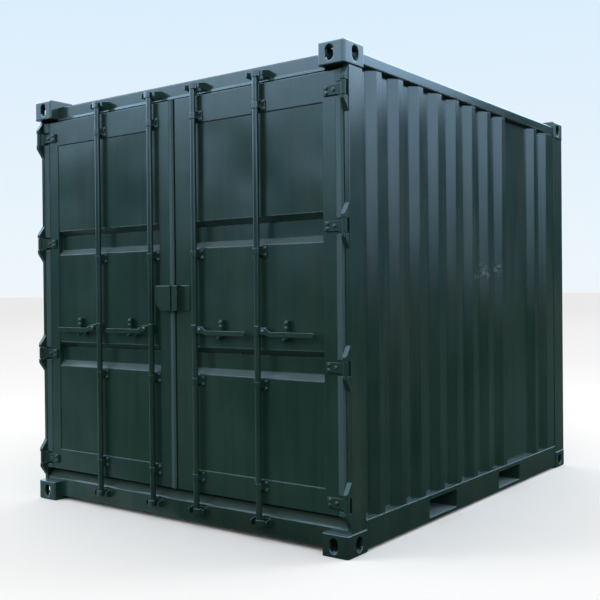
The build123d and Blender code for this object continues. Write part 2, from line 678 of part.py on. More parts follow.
# Door gaskets: a ring on the back of each leaf
gasket_width = LEAF_OUTER - LEAF_GAP - 2 * GASKET_INSET
gasket_height = leaf_height - 2 * GASKET_INSET
with BuildPart() as door_gasket:
    with BuildSketch(Plane.XZ.offset(-behind(leaf_back))):
        with Locations(((LEAF_OUTER + LEAF_GAP) / 2, (LEAF_TOP + LEAF_LOW) / 2)):
            Rectangle(gasket_width, gasket_height)
            Rectangle(gasket_width - 2 * GASKET_WIDTH, gasket_height - 2 * GASKET_WIDTH, mode=Mode.SUBTRACT)
    extrude(amount=-GASKET_DEPTH)
save_pair(door_gasket, "door_gasket")

# Hinge blades: cranked straps that flare to a knuckle round the pin
leaf_face = behind(LEAF_FRONT)
strap_front = behind(LEAF_FRONT - BLADE_THICKNESS)
pin_y = behind(PIN_Y)
blade_end = LEAF_OUTER - BLADE_REACH
with BuildPart() as hinge_blades:
    for level in hinge_levels:
        with BuildSketch(Plane.XY.offset(level - BLADE_KNUCKLE / 2)):
            with BuildLine():
                Polyline(
                    (blade_end, leaf_face),
                    (blade_end, strap_front),
                    (PIN_X - BLADE_BEND_FRONT, strap_front),
                    (PIN_X - NECK_FRONT, pin_y + NECK_FRONT_SET),
                    (PIN_X, pin_y),
                    (PIN_X - NECK_BACK, pin_y + NECK_BACK_SET),
                    (PIN_X - BLADE_BEND_BACK, leaf_face),
                    close=True,
                )
            make_face()
            with Locations((PIN_X, pin_y)):
                RegularPolygon(KNUCKLE_RADIUS, KNUCKLE_SIDES, major_radius=False)
                Circle(PIN_RADIUS + PIN_CLEARANCE, mode=Mode.SUBTRACT)
        extrude(amount=BLADE_KNUCKLE)
    with BuildSketch(Plane.XZ.offset(-FRONT)):
        for level in hinge_levels:
            with BuildLine():
                Polyline(
                    (blade_end, level - BLADE_HEIGHT / 2),
                    (LEAF_OUTER - BLADE_FLARE, level - BLADE_HEIGHT / 2),
                    (LEAF_OUTER, level - BLADE_KNUCKLE / 2),
                    (SIDE, level - BLADE_KNUCKLE / 2),
                    (SIDE, level + BLADE_KNUCKLE / 2),
                    (LEAF_OUTER, level + BLADE_KNUCKLE / 2),
                    (LEAF_OUTER - BLADE_FLARE, level + BLADE_HEIGHT / 2),
                    (blade_end, level + BLADE_HEIGHT / 2),
                    close=True,
                )
            make_face()
    extrude(amount=-CASTING_Y, mode=Mode.INTERSECT)
save_pair(hinge_blades, "hinge_blades")

# Door fittings: rod guides folded from strap, and handle catches, on each leaf
rod_y = behind(ROD_Y)
guide_bore = ROD_RADIUS + GUIDE_CLEARANCE
guide_outer = guide_bore + GUIDE_WALL
guide_seats = [(LEAF_LOW + LOW_MEMBER - GUIDE_FROM_EDGE, leaf_face)]
guide_seats += [(level - PANEL_FOLD_HEIGHT / 2 - GUIDE_BELOW_FOLD, panel_face) for level in middle_hinges]
guide_seats += [(LEAF_TOP - TOP_MEMBER + GUIDE_FROM_EDGE, leaf_face)]
handle_back = ROD_Y - TONGUE_THICKNESS / 2 - HANDLE_GAP
handle_front = handle_back - HANDLE_THICKNESS
handle_length = rods["outer"] - rods["inner"] - HANDLE_END_GAP
grip_level = HANDLE_LEVEL - HANDLE_DROP
catch_level = grip_level - HANDLE_GRIP / 2 - CATCH_CLEARANCE
catch_back = behind(handle_back + CATCH_BEHIND_HANDLE)
with BuildPart() as door_fittings:
    for place in rods.values():
        for level, seat in guide_seats:
            with BuildSketch(Plane.XY.offset(level - GUIDE_HEIGHT / 2)):
                for half, mode in ((guide_outer, Mode.ADD), (guide_bore, Mode.SUBTRACT)):
                    with Locations((place, (rod_y + seat) / 2)):
                        Rectangle(2 * half, seat - rod_y, mode=mode)
                    with Locations((place, rod_y)):
                        RegularPolygon(half, 8, major_radius=False, rotation=22.5, mode=mode)
            extrude(amount=GUIDE_HEIGHT)
            with Locations((place, seat - GUIDE_PLATE / 2, level)):
                Box(GUIDE_PLATE_WIDTH, GUIDE_PLATE, GUIDE_PLATE_HEIGHT)
        catch_left = place + (handle_length - CATCH_WIDTH) / 2
        catch_right = catch_left + CATCH_WIDTH
        with BuildSketch(Plane.XZ.offset(-panel_face)):
            with BuildLine():
                Polyline(
                    (catch_left - CATCH_FOOT, catch_level - CATCH_BAR),
                    (catch_right - CATCH_BAR, catch_level - CATCH_BAR),
                    (catch_right, catch_level),
                    (catch_right, HANDLE_LEVEL + CATCH_RISE),
                    (catch_left, HANDLE_LEVEL + CATCH_RISE),
                    (catch_left, catch_level),
                    (catch_left - CATCH_FOOT, catch_level),
                    close=True,
                )
            make_face()
        extrude(amount=panel_face - catch_back)
        finger_y = (catch_back + behind(CATCH_FRONT)) / 2
        with Locations((catch_left + CATCH_BAR / 2, finger_y, catch_level - CATCH_BAR / 2)):
            Box(CATCH_BAR, catch_back - behind(CATCH_FRONT), CATCH_BAR)
save_pair(door_fittings, "door_fittings")

# Lock box halves, open below and towards each other
box_low = HANDLE_LEVEL + LOCK_BOX_RISE
box_top = box_low + LOCK_BOX_HEIGHT
box_front = behind(LOCK_BOX_FRONT)
box_depth = LEAF_FRONT - LOCK_BOX_FRONT
with BuildPart() as lock_box_left:
    with BuildSketch(Plane.XZ.offset(-leaf_face)):
        with BuildLine():
            Polyline(
                (-LOCK_BOX_GAP, box_low),
                (LOCK_BOX_CHAMFER - LOCK_BOX_LEFT, box_low),
                (-LOCK_BOX_LEFT, box_low + LOCK_BOX_CHAMFER),
                (-LOCK_BOX_LEFT, box_top),
                (-LOCK_BOX_GAP, box_top),
                close=True,
            )
        make_face()
    extrude(amount=box_depth)
    openings = lock_box_left.faces().sort_by(Axis.X)[-1:] + lock_box_left.faces().sort_by(Axis.Z)[:1]
    offset(amount=-LOCK_BOX_SHEET, openings=openings, kind=Kind.INTERSECTION)
save(lock_box_left, "lock_box_left")

with BuildPart() as lock_box_right:
    with Locations(((LOCK_BOX_GAP + LOCK_BOX_RIGHT) / 2, box_front + box_depth / 2, (box_low + box_top) / 2)):
        Box(LOCK_BOX_RIGHT - LOCK_BOX_GAP, box_depth, LOCK_BOX_HEIGHT)
    openings = lock_box_right.faces().sort_by(Axis.X)[:1] + lock_box_right.faces().sort_by(Axis.Z)[:1]
    offset(amount=-LOCK_BOX_SHEET, openings=openings, kind=Kind.INTERSECTION)
    plate_x = (LOCK_BOX_RIGHT + LOCK_BOX_PLATE) / 2
    with Locations((plate_x, leaf_face - LOCK_BOX_SHEET / 2, (box_low + box_top) / 2)):
        Box(LOCK_BOX_PLATE - LOCK_BOX_RIGHT, LOCK_BOX_SHEET, LOCK_BOX_HEIGHT)
save(lock_box_right, "lock_box_right")

# Seam strip: bevelled lip beside the seam on the left leaf, broken at the lock box
with BuildPart() as seam_strip:
    strip_runs = ((LEAF_LOW, box_low - STRIP_END_GAP), (box_top + STRIP_END_GAP, LEAF_TOP))
    for low, top in strip_runs:
        with BuildSketch(Plane.XY.offset(low)):
            with BuildLine():
                Polyline(
                    (-STRIP_FAR, leaf_face),
                    (STRIP_BEVEL - STRIP_FAR, leaf_face - STRIP_THICKNESS),
                    (-STRIP_NEAR - STRIP_BEVEL, leaf_face - STRIP_THICKNESS),
                    (-STRIP_NEAR, leaf_face),
                    close=True,
                )
            make_face()
        extrude(amount=top - low)
save(seam_strip, "seam_strip")

# Lock rods: a cam at each end and the handle's hub and tongue; the cams close the tube
rod_low = CAM_LOW_LEVEL - CAM_HEIGHT / 2
rod_top = cam_top_level + CAM_HEIGHT / 2
for rod_name, place in rods.items():
    with BuildPart() as lock_rod:
        with BuildSketch(Plane.XY.offset(rod_low)):
            with Locations((place, rod_y)):
                Circle(ROD_RADIUS)
        extrude(amount=rod_top - rod_low)
        for level in (CAM_LOW_LEVEL, cam_top_level):
            with BuildSketch(Plane.XY.offset(level - CAM_HEIGHT / 2)) as cam:
                with BuildLine():
                    Polyline(
                        (place - CAM_COLLAR, rod_y - CAM_COLLAR),
                        (place + CAM_COLLAR / 2, rod_y - CAM_COLLAR),
                        (place + CAM_REACH, rod_y - CAM_NOSE),
                        (place + CAM_REACH, rod_y + CAM_NOSE),
                        (place + CAM_COLLAR / 2, rod_y + CAM_COLLAR),
                        (place - CAM_COLLAR, rod_y + CAM_COLLAR),
                        close=True,
                    )
                make_face()
                chamfer(cam.vertices(), CAM_CHAMFER)
            extrude(amount=CAM_HEIGHT)
        with BuildSketch(Plane.XY.offset(HANDLE_LEVEL - HUB_HEIGHT / 2)) as hub:
            with Locations((place, rod_y)):
                Rectangle(2 * HUB_HALF, 2 * HUB_HALF)
            chamfer(hub.vertices(), HUB_CHAMFER)
        extrude(amount=HUB_HEIGHT)
        with BuildSketch(Plane.XZ.offset(-rod_y + TONGUE_THICKNESS / 2)):
            with Locations((place + TONGUE_REACH / 2, HANDLE_LEVEL)):
                Rectangle(TONGUE_REACH, TONGUE_HEIGHT)
            with Locations((place + HANDLE_PIVOT, HANDLE_LEVEL)):
                pin_hole = HANDLE_PIN + HANDLE_PIN_CLEARANCE
                RegularPolygon(pin_hole, HANDLE_PIN_SIDES, major_radius=False, mode=Mode.SUBTRACT)
        extrude(amount=-TONGUE_THICKNESS)
    save_pair(lock_rod, f"lock_rod_{rod_name}")

# Handles: flat bars that hang on the tongue's front by a rivet
for rod_name, place in rods.items():
    with BuildPart() as handle:
        with BuildSketch(Plane.XZ.offset(-behind(handle_front))) as handle_outline:
            with BuildLine():
                Polyline(
                    (place + HANDLE_PIVOT - HANDLE_HEAD / 2, HANDLE_LEVEL + HANDLE_HEAD / 2),
                    (place + HANDLE_PIVOT + HANDLE_HEAD / 2, HANDLE_LEVEL + HANDLE_HEAD / 2),
                    (place + 2 * HANDLE_PIVOT, grip_level + HANDLE_GRIP / 2),
                    (place + handle_length, grip_level + HANDLE_GRIP / 2),
                    (place + handle_length, grip_level - HANDLE_GRIP / 2),
                    (place + 2 * HANDLE_PIVOT, grip_level - HANDLE_GRIP / 2),
                    (place + HANDLE_PIVOT + HANDLE_HEAD / 2, HANDLE_LEVEL - HANDLE_HEAD / 2),
                    (place + HANDLE_PIVOT - HANDLE_HEAD / 2, HANDLE_LEVEL - HANDLE_HEAD / 2),
                    close=True,
                )
            make_face()
            chamfer(handle_outline.vertices(), HANDLE_GRIP / 4)
        extrude(amount=-HANDLE_THICKNESS)
        with BuildSketch(Plane.XZ.offset(-behind(handle_back))):
            with Locations((place + HANDLE_PIVOT, HANDLE_LEVEL)):
                RegularPolygon(HANDLE_PIN, HANDLE_PIN_SIDES)
        extrude(amount=-(2 * HANDLE_GAP + TONGUE_THICKNESS))
    save_pair(handle, f"handle_{rod_name}")
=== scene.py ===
"""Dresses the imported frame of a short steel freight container: paint, seals, boards, bolts and welds."""

import json
import math

import bmesh
import bpy
from bpy.props import FloatProperty, FloatVectorProperty, IntProperty, PointerProperty
from mathutils import Matrix, Vector


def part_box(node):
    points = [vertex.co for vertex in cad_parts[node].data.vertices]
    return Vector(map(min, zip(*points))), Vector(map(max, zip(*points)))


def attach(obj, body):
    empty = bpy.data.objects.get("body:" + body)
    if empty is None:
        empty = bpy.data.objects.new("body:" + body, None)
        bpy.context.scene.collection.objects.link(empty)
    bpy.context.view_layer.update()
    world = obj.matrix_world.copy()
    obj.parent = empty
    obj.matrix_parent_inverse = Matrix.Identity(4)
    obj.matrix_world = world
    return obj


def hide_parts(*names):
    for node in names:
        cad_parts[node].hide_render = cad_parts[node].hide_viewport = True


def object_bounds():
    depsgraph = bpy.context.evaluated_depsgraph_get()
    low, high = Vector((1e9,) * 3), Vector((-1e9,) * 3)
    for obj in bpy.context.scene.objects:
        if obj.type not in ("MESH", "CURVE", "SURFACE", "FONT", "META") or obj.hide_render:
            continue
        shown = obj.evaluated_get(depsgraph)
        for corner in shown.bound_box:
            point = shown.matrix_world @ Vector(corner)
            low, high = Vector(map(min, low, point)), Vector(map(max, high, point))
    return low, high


bl_info = {
    "name": "Freight container dressing",
    "version": (1, 0, 0),
    "blender": (4, 5, 0),
    "location": "3D View > Sidebar > Container",
    "description": "Paint, seals, floor boards, bolts and weld seams for a freight container's frame",
    "category": "Object",
}

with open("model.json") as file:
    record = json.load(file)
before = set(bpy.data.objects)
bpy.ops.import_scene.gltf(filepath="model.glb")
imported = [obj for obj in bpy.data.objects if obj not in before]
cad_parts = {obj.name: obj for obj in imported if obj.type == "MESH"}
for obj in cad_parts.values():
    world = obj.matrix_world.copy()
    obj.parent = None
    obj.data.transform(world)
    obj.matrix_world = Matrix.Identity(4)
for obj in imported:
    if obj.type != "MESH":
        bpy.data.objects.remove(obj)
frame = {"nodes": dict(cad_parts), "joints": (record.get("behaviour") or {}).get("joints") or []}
cad_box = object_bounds()

SIDES = {"left": -1, "right": 1}
RODS = ("inner", "outer")

# Height of the mirrored skyline, as the sine of its elevation, from the left over ahead to the right
SKYLINE = ((-1.0, 0.0), (-0.94, 0.03), (-0.88, 0.12), (-0.76, 0.15), (-0.6, 0.11), (0.0, 0.2), (0.42, 0.21),
           (0.56, 0.18), (0.8, 0.06), (1.0, 0.0))

# Broad lamps: where each stands, the point that it lights and its width, in metres
LAMPS = {
    "key": ((-5.5, -7.0, 5.0), (0.0, -1.4, 1.3), 3.5),
    "fill": ((6.0, 5.0, 4.5), (1.2, 0.2, 1.3), 4.0),
}

# Half the width of the studio floor, and how far the camera sees, in metres
FLOOR_REACH = 400.0
CLIP_END = 1000.0

# Scuffs on the right-hand wall, each with its radius, where the photograph shows them
SCUFFS = (((1.19, 0.145, 1.447), 0.08), ((1.19, 0.37, 1.484), 0.065), ((1.2, -0.02, 1.41), 0.04))

# Seal lips: how far they reach past a door's edge and past the seam strip, their gap to a hinge blade, and
# where the ridge stands as a share of the width
LIP_COVER = 0.003
LIP_STRIP_COVER = 0.004
LIP_BLADE_GAP = 0.004
LIP_RIDGE = 0.25

# Bolts in a rod guide, a handle catch and a hinge blade, measured on those pieces; a solid of the door's
# fittings is a guide where it is wider and lower than the two limits
GUIDE_LEAST_WIDTH = 0.09
GUIDE_MOST_HEIGHT = 0.07
GUIDE_PLATE = 0.006
GUIDE_BOLT_ACROSS = 0.036
GUIDE_BOLT_UP = 0.019
CATCH_FACE = 0.018
CATCH_BOLT_ACROSS = 0.0225
CATCH_BOLT_DROPS = (0.014, 0.04)
BLADE_SHEET = 0.012
BLADE_BOLTS = ((0.018, -0.013), (0.018, 0.013), (0.062, 0.0))

# Rise of the domed heads as a share of their radius
RIVET_FLATNESS = 0.45
SCREW_FLATNESS = 0.12

# Floor: the margin that a row of screws keeps, its shift to one side, and the gap between two boards
SCREW_MARGIN = 0.1
SCREW_SHIFT = 0.02
BOARD_JOINT = 0.003

# Weld beads: width of the front posts' lip, thickness of a keeper's plate, and how far behind its face
# the bead round it lies
POST_LIP = 0.027
KEEPER_PLATE = 0.004
KEEPER_BEAD_DEPTH = 0.003

# Sockets of the Mix node when it mixes colours
MIX_FACTOR, MIX_FIRST, MIX_SECOND, MIX_RESULT = 0, 6, 7, 2


def from_srgb(text):
    """Linear red, green and blue of a colour written as #rrggbb."""
    parts = [int(text[i:i + 2], 16) / 255 for i in (1, 3, 5)]
    return tuple(c / 12.92 if c <= 0.04045 else ((c + 0.055) / 1.055) ** 2.4 for c in parts)


def colour_setting(name, code, description):
    """A colour that the user can change, with its default written as #rrggbb."""
    return FloatVectorProperty(
        name=name, description=description, subtype="COLOR", size=3, min=0, max=1, default=from_srgb(code))


def length_setting(name, default, least, description):
    """A length in metres that the user can change."""
    return FloatProperty(name=name, description=description, default=default, min=least, unit="LENGTH")


class ContainerColours(bpy.types.PropertyGroup):
    """Colours of the paint, what shows where it has gone, and the unpainted pieces."""

    paint: colour_setting("Paint", "#1c372e", "Dark green gloss of the whole outside")
    lip: colour_setting("Seal lips", "#3b504e", "Thin greyed paint over the rubber lips of the door seals")
    faded: colour_setting("Faded paint", "#284038", "Tone that sun and rain bring out in patches")
    # Grime also paints the shade over the lowest part of the walls, rails and doors
    grime_and_shade: colour_setting("Grime", "#0e1a16", "Dirt held low down and in streaks under the rails")
    # Dust on upward faces also paints the highlight of the sky that they mirror
    dust_and_sheen: colour_setting("Dust", "#6f8287", "Pale dust that settles on upward faces")
    scuff: colour_setting("Scuff", "#7c8b86", "Rubbed paint on edges and where something brushed the wall")
    tan: colour_setting("Tan film", "#494a3c", "Brownish film of dried rain and dust on the walls")
    rust: colour_setting("Rust", "#5b3d28", "Rust at chipped edges")
    rubber: colour_setting("Seal rubber", "#1b1c1c", "Black seals on the backs of the doors")
    rubber_bloom: colour_setting("Rubber bloom", "#2f3130", "Dull grey bloom on the seal rubber")
    zinc: colour_setting("Zinc", "#9a9b98", "Plating of the floor screws")
    board_joint: colour_setting("Board joint", "#120c08", "Dark joint between two floor boards")
    plywood: colour_setting("Plywood", "#7b5233", "Oiled hardwood plywood of the floor")
    plywood_dark: colour_setting("Plywood grain", "#4a2f1d", "Dark grain and worn tracks of the floor")
    ground: colour_setting("Near ground", "#fdfdfd", "Plain pale floor at the container's feet")
    ground_far: colour_setting("Far ground", "#f4f3f4", "The same floor towards its far edge")
    ground_bounce: colour_setting(
        "Ground in the paint", "#4b5a5e", "Tone of the floor as the gloss paint mirrors it")
    ground_left: colour_setting(
        "Ground at the left", "#a4bccb", "Paler floor that faces turned to the left mirror")
    sky_low: colour_setting("Low backdrop", "#eef6fb", "Backdrop just above the floor's far edge")
    sky_high: colour_setting("High backdrop", "#dbeefd", "Backdrop at the top of the picture")
    mirrored_low: colour_setting(
        "Mirrored skyline", "#617fa4", "Dim band round the horizon that the gloss paint mirrors")
    mirrored_sky: colour_setting(
        "Mirrored sky", "#b9dcff", "Pale blue above that band, which the upper walls mirror")


class ContainerSizes(bpy.types.PropertyGroup):
    """Sizes of what the dressing adds to the frame."""

    edge: length_setting("Edge rounding", 0.003, 0, "Radius at which folded and cut edges catch the light")
    lip: length_setting(
        "Seam lip width", 0.043, 0.01, "Width of the painted seal lip beside the seam of the doors")
    edge_lip: length_setting(
        "Edge lip width", 0.054, 0.01, "Width of the painted seal lips along the doors' outer edges")
    lip_rise: length_setting(
        "Seal lip rise", 0.011, 0.001, "How far the seal lips stand proud of the doors")
    bead: length_setting("Weld bead", 0.0035, 0.001, "Radius of the weld beads")
    bead_step: length_setting("Weld ripple", 0.012, 0.004, "Distance between two ripples of a bead")
    bolt: length_setting("Bolt head", 0.016, 0.005, "Width over the corners of a hexagon head")
    bolt_rise: length_setting("Bolt rise", 0.006, 0.001, "Height of a hexagon head over its washer")
    rivet: length_setting("Rivet head", 0.022, 0.005, "Diameter of the domed rivets that carry the handles")
    screw: length_setting("Floor screw", 0.013, 0.004, "Diameter of the countersunk floor screws")
    screw_pitch: length_setting(
        "Screw spacing", 0.15, 0.05, "Distance between floor screws along a cross member")
    board: length_setting("Board width", 1.16, 0.2, "Width of the plywood boards along the container")
    seed: IntProperty(name="Seed", description="Seed of the beads' uneven ripple", default=7, min=0)


class ContainerStage(bpy.types.PropertyGroup):
    """Camera and light; the camera's values were fitted to the photograph."""

    camera_place: FloatVectorProperty(
        name="Camera", description="Where the camera stands", subtype="TRANSLATION", size=3,
        default=(3.66341, -5.17144, 1.33333))
    camera_yaw: FloatProperty(
        name="Yaw", description="Turn of the view from along the container towards its left side",
        default=0.638541, subtype="ANGLE")
    camera_pitch: FloatProperty(
        name="Pitch", description="Tilt of the view above the horizon", default=-0.0084037, subtype="ANGLE")
    camera_roll: FloatProperty(
        name="Roll", description="Turn of the picture about the view", default=-0.0095024, subtype="ANGLE")
    picture: FloatProperty(
        name="Picture width", description="Width of the photograph in pixels", default=600.0, min=1)
    focal: FloatProperty(
        name="Focal length", description="Distance of the picture plane in pixels", default=892.25, min=1)
    sensor: FloatProperty(
        name="Sensor", description="Width of the camera's sensor in millimetres", default=36.0, min=1)
    room: FloatProperty(
        name="Room light", description="Brightness of the plain soft light from all round", default=0.92,
        min=0)
    sky: FloatProperty(
        name="Mirrored brightness", description="Brightness of the sky that the gloss paint mirrors",
        default=6.0, min=0)
    key: FloatProperty(
        name="Key lamp", description="Power of the broad lamp on the doors' left", default=220.0, min=0,
        unit="POWER")
    fill: FloatProperty(
        name="Fill lamp", description="Power of the broad lamp on the right-hand wall", default=160.0, min=0,
        unit="POWER")


def settings():
    """The three groups of settings on the scene."""
    scene = bpy.context.scene
    return scene.container_colours, scene.container_sizes, scene.container_stage


def add_node(tree, kind, inputs=None, **values):
    """Add a node, set its values, and set each named input or link an output to it."""
    node = tree.nodes.new(kind)
    for name, value in values.items():
        setattr(node, name, value)
    for name, value in (inputs or {}).items():
        if isinstance(value, bpy.types.NodeSocket):
            tree.links.new(value, node.inputs[name])
        elif isinstance(value, tuple) and len(value) == 3 and len(node.inputs[name].default_value) == 4:
            node.inputs[name].default_value = (*value, 1.0)
        else:
            node.inputs[name].default_value = value
    return node


def new_material(name):
    """An empty node material and its tree."""
    material = bpy.data.materials.new(name)
    material.use_nodes = True
    material.node_tree.nodes.clear()
    return material, material.node_tree


def finish_material(tree, shader):
    """Join the shader to the material's output."""
    add_node(tree, "ShaderNodeOutputMaterial", {"Surface": shader.outputs[0]})


def noise_mask(tree, place, scale, detail, start, full, strength=1.0, easing="LINEAR"):
    """Patches of noise: nothing up to one of its levels, rising to the strength at another."""
    noise = add_node(tree, "ShaderNodeTexNoise", {"Vector": place, "Scale": scale, "Detail": detail})
    mask = add_node(tree, "ShaderNodeMapRange", {
        "Value": noise.outputs[0], "From Min": start, "From Max": full, "To Max": strength},
        interpolation_type=easing)
    return mask.outputs[0]


def paint_on_steel(name, dent=0.0, dent_width=0.45, streak=0.35, wear=0.35, roughness=0.3, shine=0.5,
                   bend=1.0, grain=0.0, film=0.15, film_foot=0.5, rust=0.25, dust_and_sheen=0.2, scuffs=(),
                   base=None):
    """Alkyd gloss rolled over blasted steel.

    Gives the eye a dark glassy film that mirrors the sky softly, paler patches where it has chalked,
    a brownish film and rain streaks, dirt and painted shade low down, pale dust on upward faces that
    also paints the highlight of the sky they mirror, and chips and rub marks on the edges. Dents and
    the film's foot are in metres, bend widens the rounded edges, and base takes the green's place.
    """
    colours, sizes, _ = settings()
    material, tree = new_material(name)
    place = add_node(tree, "ShaderNodeTexCoord").outputs["Object"]
    flat = add_node(tree, "ShaderNodeNewGeometry").outputs["Normal"]
    height = add_node(tree, "ShaderNodeSeparateXYZ", {"Vector": place}).outputs["Z"]

    # Chalking in drifts about 0.6 m wide
    drift = noise_mask(tree, place, 1.7, 4.0, 0.3, 0.75, easing="SMOOTHSTEP")

    # Brownish film in tall patches, 150 mm wide, that fades in above its foot
    tall = add_node(tree, "ShaderNodeMapping", {
        "Vector": place, "Location": (3.1, 7.7, 1.3), "Scale": (6.5, 6.5, 1.1)})
    tall = noise_mask(tree, tall.outputs[0], 1.0, 7.0, 0.42, 0.66, film, "SMOOTHSTEP")
    above = add_node(tree, "ShaderNodeMapRange", {
        "Value": height, "From Min": film_foot, "From Max": film_foot + 1.1}).outputs[0]

    # Rain streaks about 60 mm apart and over a metre long
    rain = add_node(tree, "ShaderNodeMapping", {"Vector": place, "Scale": (16.0, 16.0, 0.8)})
    rain = noise_mask(tree, rain.outputs[0], 1.0, 5.0, 0.5, 0.72, streak)

    # Darker over the lowest 0.28 m: dirt, and painted shade where shade falls near the ground
    low = add_node(tree, "ShaderNodeMapRange", {
        "Value": height, "From Min": 0.28, "From Max": 0.0, "To Max": 0.75}).outputs[0]
    # Pale dust on upward faces, which also paints the highlight of the sky on ledges, straps and tops
    up = add_node(tree, "ShaderNodeSeparateXYZ", {"Vector": flat})
    up = add_node(tree, "ShaderNodeMapRange", {
        "Value": up.outputs["Z"], "From Min": 0.5, "From Max": 0.78}).outputs[0]

    # Edges: the rounded normal leaves the flat one only within the edge's radius
    rounded = add_node(tree, "ShaderNodeBevel", {"Radius": sizes.edge * bend}, samples=6)
    meet = add_node(tree, "ShaderNodeVectorMath", {0: rounded.outputs[0], 1: flat}, operation="DOT_PRODUCT")
    edge = add_node(tree, "ShaderNodeMapRange", {
        "Value": meet.outputs["Value"], "From Min": 0.97, "From Max": 0.8}).outputs[0]
    chips = noise_mask(tree, place, 38.0, 6.0, 0.52, 0.66, wear)
    spots = noise_mask(tree, place, 9.0, 8.0, 0.64, 0.74, rust)

    # Coats from the paint up, each with the two factors whose product says how much of it covers
    coats = [
        (drift, 1.0, base or colours.faded),
        (tall, above, colours.tan),
        (rain, 1.0, colours.grime_and_shade),
        # Grime low down: dirt, and painted shade near the ground
        (low, drift, colours.grime_and_shade),
        # Pale dust on upward faces, partly a painted highlight of the sky
        (up, dust_and_sheen, colours.dust_and_sheen),
        (edge, chips, colours.scuff),
        (edge, spots, colours.rust),
    ]
    for spot, radius in scuffs:
        away = add_node(tree, "ShaderNodeVectorMath", {0: place, 1: spot}, operation="DISTANCE")
        near = add_node(tree, "ShaderNodeMapRange", {
            "Value": away.outputs["Value"], "From Min": radius, "From Max": 0.2 * radius, "To Max": 2.5})
        coats.append((near.outputs[0], chips, colours.scuff))
    colour = tuple(base or colours.paint)
    for factor, other, coat in coats:
        cover = add_node(tree, "ShaderNodeMath", {0: factor, 1: other}, operation="MULTIPLY")
        colour = add_node(tree, "ShaderNodeMix", {
            MIX_FACTOR: cover.outputs[0], MIX_FIRST: colour, MIX_SECOND: tuple(coat)},
            data_type="RGBA").outputs[MIX_RESULT]

    # Gloss varies with the chalking; the sheet is slightly buckled and the film slightly stippled
    gloss = add_node(tree, "ShaderNodeMapRange", {
        "Value": drift, "To Min": roughness, "To Max": roughness + 0.06})
    dull = add_node(tree, "ShaderNodeMapRange", {"Value": up, "To Min": shine, "To Max": 0.4 * shine})
    buckle = add_node(tree, "ShaderNodeTexNoise", {
        "Vector": place, "Scale": 1.0 / dent_width, "Detail": 1.0})
    buckled = add_node(tree, "ShaderNodeBump", {
        "Strength": 1.0, "Distance": dent, "Height": buckle.outputs[0], "Normal": rounded.outputs[0]})
    stipple = add_node(tree, "ShaderNodeTexNoise", {"Vector": place, "Scale": 260.0, "Detail": 2.0})
    stippled = add_node(tree, "ShaderNodeBump", {
        "Strength": 0.25, "Distance": 0.0004 + grain, "Height": stipple.outputs[0],
        "Normal": buckled.outputs[0]})
    shader = add_node(tree, "ShaderNodeBsdfPrincipled", {
        "Base Color": colour, "Roughness": gloss.outputs[0], "IOR": 1.5,
        "Specular IOR Level": dull.outputs[0], "Normal": stippled.outputs[0]})
    finish_material(tree, shader)
    return material


def sponge_rubber(name):
    """Extruded EPDM sponge: black and even, with a dull bloom and no mirror image."""
    colours, _, _ = settings()
    material, tree = new_material(name)
    place = add_node(tree, "ShaderNodeTexCoord").outputs["Object"]
    bloom = add_node(tree, "ShaderNodeTexNoise", {"Vector": place, "Scale": 14.0, "Detail": 5.0})
    tone = add_node(tree, "ShaderNodeMix", {
        MIX_FACTOR: bloom.outputs[0], MIX_FIRST: tuple(colours.rubber),
        MIX_SECOND: tuple(colours.rubber_bloom)}, data_type="RGBA")
    skin = add_node(tree, "ShaderNodeTexNoise", {"Vector": place, "Scale": 420.0})
    bump = add_node(tree, "ShaderNodeBump", {"Strength": 0.3, "Distance": 0.0005, "Height": skin.outputs[0]})
    shader = add_node(tree, "ShaderNodeBsdfPrincipled", {
        "Base Color": tone.outputs[MIX_RESULT], "Roughness": 0.75, "IOR": 1.5, "Normal": bump.outputs[0]})
    finish_material(tree, shader)
    return material


def oiled_plywood(name, board):
    """Keruing plywood, hot pressed and oiled: red brown, with a straight grain along the boards."""
    colours, _, _ = settings()
    material, tree = new_material(name)
    place = add_node(tree, "ShaderNodeTexCoord").outputs["Object"]
    along = add_node(tree, "ShaderNodeMapping", {"Vector": place, "Scale": (90.0, 4.0, 90.0)})
    grain = add_node(tree, "ShaderNodeTexNoise", {"Vector": along.outputs[0], "Scale": 1.0, "Detail": 6.0})
    broad = add_node(tree, "ShaderNodeMapping", {"Vector": place, "Scale": (9.0, 0.8, 9.0)})
    broad = add_node(tree, "ShaderNodeTexNoise", {"Vector": broad.outputs[0], "Scale": 1.0, "Detail": 3.0})
    both = add_node(tree, "ShaderNodeMath", {0: grain.outputs[0], 1: broad.outputs[0]}, operation="MULTIPLY")
    both = add_node(tree, "ShaderNodeMapRange", {
        "Value": both.outputs[0], "From Min": 0.12, "From Max": 0.42})
    wood = add_node(tree, "ShaderNodeMix", {
        MIX_FACTOR: both.outputs[0], MIX_FIRST: tuple(colours.plywood_dark),
        MIX_SECOND: tuple(colours.plywood)}, data_type="RGBA")

    # Joints between the boards
    parts = add_node(tree, "ShaderNodeSeparateXYZ", {"Vector": place})
    row = add_node(tree, "ShaderNodeMath", {0: parts.outputs["X"], 1: board}, operation="DIVIDE")
    row = add_node(tree, "ShaderNodeMath", {0: row.outputs[0]}, operation="FRACT")
    row = add_node(tree, "ShaderNodeMath", {0: row.outputs[0], 1: BOARD_JOINT / board},
                   operation="LESS_THAN")
    jointed = add_node(tree, "ShaderNodeMix", {
        MIX_FACTOR: row.outputs[0], MIX_FIRST: wood.outputs[MIX_RESULT],
        MIX_SECOND: tuple(colours.board_joint)}, data_type="RGBA")
    bump = add_node(tree, "ShaderNodeBump", {
        "Strength": 0.4, "Distance": 0.0006, "Height": grain.outputs[0]})
    shader = add_node(tree, "ShaderNodeBsdfPrincipled", {
        "Base Color": jointed.outputs[MIX_RESULT], "Roughness": 0.5, "IOR": 1.5, "Normal": bump.outputs[0]})
    finish_material(tree, shader)
    return material


